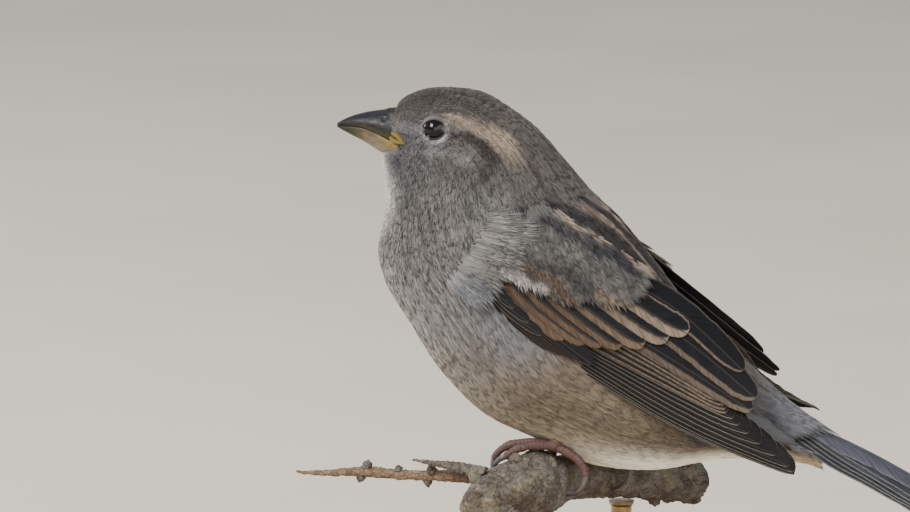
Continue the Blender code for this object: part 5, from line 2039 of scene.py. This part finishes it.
@dataclass(frozen=True)
class Perch:
    """The cut twig: the solids' shapes with real bark on them."""

    voxel: float = 0.42

    def _barked(self, part: str, depth: float, grain: float, finish: Material, turns: Pair) -> Piece:
        """Copy a solid of the perch and give it bark.

        Args:
            part: Which solid.
            depth: How deep the bark's relief is.
            grain: Size of its lumps.
            finish: Its material.
            turns: Depth and spacing of the raised rings round a thorn.

        Returns:
            The piece.
        """
        obj = placed(part + "_bark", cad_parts["perch_" + part].data.copy())
        obj.data.name = obj.name
        obj.data.materials.clear()
        bpy.ops.object.select_all(action="DESELECT")
        obj.select_set(True)
        bpy.context.view_layer.objects.active = obj
        bpy.ops.object.mode_set(mode="EDIT")
        bpy.ops.mesh.select_all(action="SELECT")
        bpy.ops.mesh.remove_doubles(threshold=0.02 * MM)
        bpy.ops.mesh.normals_make_consistent(inside=False)
        bpy.ops.object.mode_set(mode="OBJECT")
        remesh = obj.modifiers.new("even", "REMESH")
        remesh.mode = "VOXEL"
        remesh.voxel_size = self.voxel * MM * (0.5 if turns[0] else 1.0)
        bpy.ops.object.modifier_apply(modifier="even")
        soften = obj.modifiers.new("soften", "SMOOTH")
        soften.factor, soften.iterations = 0.5, 6
        bpy.ops.object.modifier_apply(modifier="soften")
        self._relief(obj, depth, grain, turns)
        obj.data.shade_smooth()
        obj.data.materials.append(finish)
        return obj

    @staticmethod
    def _relief(obj: Piece, depth: float, grain: float, turns: Pair) -> None:
        """Press cracks, lumps and rings into the bark."""
        mesh = obj.data
        count = len(mesh.vertices)
        points, normals = np.empty(count * 3), np.empty(count * 3)
        mesh.vertices.foreach_get("co", points)
        mesh.vertices.foreach_get("normal", normals)
        points, normals = points.reshape(-1, 3), normals.reshape(-1, 3)
        rise = np.array([noise.fractal(Vector(p / MM / grain), 0.9, 2.1, 4) for p in points]) * depth
        rise += np.array([abs(noise.noise(Vector(p / MM / grain * 2.6))) for p in points]) * depth * -0.9
        if turns[0]:
            x = points[:, 0] / MM
            rise += turns[0] * np.sin(x / turns[1] * TAU + 2 * np.sin(points[:, 2] / MM * 2))
        mesh.vertices.foreach_set("co", (points + normals * rise[:, None] * MM).reshape(-1))
        mesh.update()

    def _spurs(self, perch: BVHTree, finish: Material) -> Piece:
        """Buds and short spurs that stand on the bark."""
        dice = np.random.default_rng(71)
        rows = ((-10.5, -21.5, 49.5, 2.2, 1.5), (-4.6, -15.4, 54.5, 1.3, 1.4), (3.6, 10.4, 52, 1.2, 1.3),
                (10.5, 17, 50.8, 1.7, 1.5), (19, 25.4, 47.4, 1.3, 1.2), (-3.8, -24.4, 45, 1.5, 1.5),
                (-21.4, -16.8, 51.4, 1.4, 0.95), (-22.6, -15.2, 48.4, 1.7, 0.95),
                (-35.2, -14.4, 51.2, 1.5, 0.95), (-36.6, -14, 48.4, 1.2, 0.9),
                (-28.6, -15, 50.8, 0.7, 0.7), (16, 21.5, 40.6, 1.4, 1.3))
        parts = []
        for x, y, z, length, radius in rows:
            spot, normal, _, _ = perch.find_nearest(Vector((x, y, z)) * MM)
            start, way = np.array(spot) / MM, unit(np.array(normal) + dice.normal(0, 0.3, 3))
            along = np.linspace(-0.5, 1, 12)
            line = start + way * (along * length)[:, None] + dice.normal(0, 0.05, (12, 3))
            taper = np.clip(1 - np.clip(along, 0, 1) ** 2.2, 0.12, 1)
            parts.append(tube(line, radius * taper * (1 + 0.12 * np.sin(along * 22)), 14,
                              lambda share, angle: 1 + 0.1 * np.sin(3 * angle + 9 * share)))
        return joined(parts).piece("perch_spurs", finish)

    def build(self) -> list[Dressed]:
        """Make the twig's pieces, each with the solids that it stands for."""
        old, young = Bark("old bark", 0.12, 0.6).build(), Bark("young bark", 0.75, 0.25).build()
        thorn = Bark("thorn bark", 0.1, 0.15).build()
        corners, faces, shift = [], [], 0
        for node in ("perch_branch", "perch_twig"):
            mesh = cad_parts[node].data
            corners += [tuple(v.co) for v in mesh.vertices]
            faces += [tuple(i + shift for i in p.vertices) for p in mesh.polygons]
            shift = len(corners)
        whole = BVHTree.FromPolygons(corners, faces)
        looks = (("branch", 0.5, 2.6, old, (0.0, 0.0)), ("twig", 0.28, 1.6, young, (0.0, 0.0)),
                 ("thorn", 0.1, 0.9, thorn, (0.07, 1.1)))
        made = [(self._barked(part, *look), ("perch_" + part,)) for part, *look in looks]
        return made + [(self._spurs(whole, old), ())]


@dataclass(frozen=True)
class Stand:
    """A turned base with a stepped edge, and two brass rods in small collars."""

    base_radius: float = 48.0
    height: float = 9.0
    rod_radius: float = 1.6

    @staticmethod
    def _turned(name: str, axis: Pair, profile: Sequence[Pair], sides: int,
                crease: float, finish: Material) -> Piece:
        """Turn a piece by drawing a disc up along a profile.

        Args:
            name: The piece's name.
            axis: x and y of its upright axis.
            profile: Height and radius at each step, from below.
            sides: Points round it.
            crease: Angle over which an edge stays sharp, in degrees.
            finish: Its material.

        Returns:
            The piece.
        """
        (level, radius), *steps = profile
        bpy.ops.object.select_all(action="DESELECT")
        bpy.ops.mesh.primitive_circle_add(vertices=sides, radius=radius * MM, fill_type="NGON",
                                          location=Vector((*axis, level)) * MM)
        obj = bpy.context.active_object
        obj.name = obj.data.name = name
        bpy.ops.object.transform_apply(location=True)
        bpy.ops.object.mode_set(mode="EDIT")
        bpy.ops.mesh.select_all(action="SELECT")
        for z, wanted in steps:
            bpy.ops.mesh.extrude_region_move(TRANSFORM_OT_translate={"value": (0, 0, (z - level) * MM)})
            bpy.ops.transform.resize(value=(wanted / radius, wanted / radius, 1),
                                     center_override=Vector((*axis, z)) * MM)
            level, radius = z, wanted
        bpy.ops.mesh.select_all(action="SELECT")
        bpy.ops.mesh.remove_doubles(threshold=0.005 * MM)
        bpy.ops.mesh.normals_make_consistent(inside=False)
        bpy.ops.object.mode_set(mode="OBJECT")
        bpy.ops.object.shade_smooth_by_angle(angle=radians(crease))
        obj.data.materials.append(finish)
        return obj

    def _base(self, finish: Material) -> Piece:
        """Turn the base: a foot, a cove, a round and a shallow dish on top."""
        profile = ((0, -0.8), (0, -1.2), (0.8, 0), (1.2, 0.4), (1.6, 0.4), (2, 0), (2.3, -0.9),
                   (2.8, -1.9), (3.6, -2.5), (4.5, -2.5), (5.2, -1.9), (5.6, -0.9), (5.8, -0.1),
                   (6.3, 0.1), (7.1, 0), (7.9, -0.5), (8.5, -1.2), (8.9, -2.2), (9, -3.4), (8.85, -5.2),
                   (8.7, -6), (8.7, -7.4), (8.95, -8.2), (9, -10))
        rim = self.base_radius - 0.4
        profile = [(z, rim + off) for z, off in profile]
        return self._turned("stand_turned_base", (0, 0), profile, 160, 32, finish)

    def _rod(self, which: str, finish: Material) -> Piece:
        """Turn one rod: a ferrule in the base, the plain rod, and a cup under the twig."""
        low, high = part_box("stand_rod_" + which)
        foot, top, radius = self.height, high.z / MM, self.rod_radius
        profile = ((foot - 0.6, 3.4), (foot + 0.9, 3.4), (foot + 1.4, 3), (foot + 1.6, 2.3),
                   (foot + 3.6, 2.2), (foot + 3.9, 1.9), (foot + 4, radius), (top - 3.4, radius),
                   (top - 3.3, 1.9), (top - 2.9, 2.1), (top - 1.2, 2.1), (top - 0.7, 2.5),
                   (top - 0.1, 2.6))
        axis = ((low.x + high.x) / 2 / MM, (low.y + high.y) / 2 / MM)
        return self._turned("stand_brass_rod_" + which, axis, profile, 48, 28, finish)

    def build(self) -> list[Dressed]:
        """Make the stand's pieces, each with the solid that it stands for."""
        wood, brass = TurnedWood().build(), Brass().build()
        return [(self._base(wood), ("stand_base",))] + [
            (self._rod(which, brass), ("stand_rod_" + which,)) for which in ("front", "back")]


@dataclass(frozen=True)
class Studio:
    """Pale floor, soft lights, and the camera a little above and ahead of the hen's left side.

    Args:
        azimuth: The camera's turn from a square side view, in degrees.
        elevation: Its height, in degrees.
        distance: From the target, in millimetres.
        lens: Focal length on a 36 mm sensor.
    """

    azimuth: float = 13.0
    elevation: float = 9.0
    distance: float = 1516.0
    lens: float = 300.0
    across: float = -20.0
    rise: float = 41.8
    level: float = 50.0

    def _axes(self) -> tuple[Array, Array, Array]:
        """The view's right, up and backward directions."""
        a, e = radians(self.azimuth), radians(self.elevation)
        right = np.array([cos(a), sin(a), 0.0])
        up = np.array([-sin(a) * sin(e), cos(a) * sin(e), cos(e)])
        back = np.array([sin(a) * cos(e), -cos(a) * cos(e), sin(e)])
        return right, up, back

    def build(self) -> None:
        """Set up floor, lights and camera."""
        right, up, back = self._axes()
        target = np.array([0.0, 0.0, self.level]) + self.across * right + self.rise * up
        camera = bpy.data.cameras.new("camera")
        camera.lens, camera.sensor_width, camera.clip_start, camera.clip_end = self.lens, 36.0, 0.01, 50.0
        obj = placed("camera", camera)
        turn = Matrix((right, up, back)).transposed().to_4x4()
        obj.matrix_world = Matrix.Translation(Vector((target + self.distance * back) * MM)) @ turn
        bpy.context.scene.camera = obj
        bpy.ops.object.select_all(action="DESELECT")
        bpy.ops.mesh.primitive_plane_add(size=8.0, location=(0, 0, -0.0002))
        floor = bpy.context.active_object
        floor.name = "floor"
        floor.data.materials.append(Floor().build())
        aim = np.array([0.0, 0.0, 85.0])
        warm = (1.0, 0.98, 0.95)
        for name, (x, y, z), size, power, colour in (
                ("key", (-700, 800, 900), 600, 33.0, (1.0, 0.99, 0.97)),
                ("fill", (1000, 300, 900), 900, 8.0, (0.97, 0.98, 1.0)),
                ("rim", (-1100, 500, -400), 500, 13.0, warm), ("low", (200, -60, 900), 700, 5.0, warm)):
            self._light(name, aim, aim + x * right + y * up + z * back, size, power, colour)
        world = bpy.data.worlds.new("soft sky")
        world.use_nodes = True
        world.node_tree.nodes["Background"].inputs["Color"].default_value = (0.86, 0.92, 1.0, 1.0)
        world.node_tree.nodes["Background"].inputs["Strength"].default_value = 0.55
        bpy.context.scene.world = world

    @staticmethod
    def _light(name: str, aim: Array, place: Array, size: float, power: float, colour: Colour) -> None:
        """Add a square soft light.

        Args:
            name: Its name.
            aim: What it points at.
            place: Where it is.
            size: Its side, in millimetres.
            power: Its power, in watts.
            colour: Its colour.
        """
        light = bpy.data.lights.new(name, "AREA")
        light.size, light.energy, light.color = size * MM, power, colour
        obj = placed(name, light)
        obj.location = Vector(place * MM)
        obj.rotation_euler = Vector((aim - place) * MM).to_track_quat("-Z", "Y").to_euler()


# ---- putting it together ----

def show(piece: Piece, slot: str, *nodes: str) -> None:
    """Hand a finished piece to the frame.

    Args:
        piece: The piece.
        slot: The record's material slot; not used.
        nodes: The solids that it stands for.
    """
    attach(piece, "root")
    if nodes:
        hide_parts(*nodes)
    log.info("%s: %d faces", piece.name, len(piece.data.polygons))


def main() -> None:
    """Build the hen, her perch and stand, and the studio, in order."""
    logging.basicConfig(level=logging.INFO, format="%(message)s")
    Studio().build()
    corners = [tuple(v.co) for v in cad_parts["perch_branch"].data.vertices]
    faces = [tuple(p.vertices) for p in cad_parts["perch_branch"].data.polygons]
    perch = BVHTree.FromPolygons(corners, faces)
    feet = (Foot(Side.LEFT, (1.9, -9.8, 55.8), (7.4, -7.6, 65.0)),
            Foot(Side.RIGHT, (6.8, 9.2, 53.7), (12.0, 7.2, 63.4)))
    show(Hide().build(feet, perch, Skin().build()), "foot_skin", "head", "neck", "trunk", "leg_left",
         "leg_right", "foot_left", "foot_right")
    claw_finish = Horn("claw horn", 0.4).build()
    for foot in feet:
        for claw in foot.claws(perch, claw_finish):
            show(claw, "claw_horn", claw.name.replace("claw_horn", "claw"))
    wet = WetEye().build()
    for side in Side:
        show(EYES.ball(side, wet), "eye", "eye_" + side.word)
    upper, lower = Bill().build(Horn("bill horn").build())
    show(upper, "bill_horn", "bill_upper")
    show(lower, "bill_horn", "bill_lower")
    slots = {"face": "head_plumage", "crown": "head_plumage", "neck": "neck_plumage"}
    for piece in Coat().build(perch):
        show(piece, slots.get(piece.name.split("_")[1], "body_plumage"))
    soft, firm = Plumage("wing soft plumage").build(), Vane("firm plumage").build()
    for side, raised_tip in ((Side.LEFT, 0.0), (Side.RIGHT, 10.5)):
        wing = Wing(side, WingForm(side, raised_tip))
        for number, piece in enumerate(wing.build(soft, firm)):
            show(piece, "wing_plumage", *(("wing_" + side.word,) if number == 0 else ()))
    show(Tail().build(firm), "tail_plumage", "tail")
    for piece, nodes in Perch().build():
        show(piece, "bark", *nodes)
    for piece, nodes in Stand().build():
        show(piece, "rod_metal" if "brass" in piece.name else "turned_wood", *nodes)


if __name__ == "__main__":
    main()
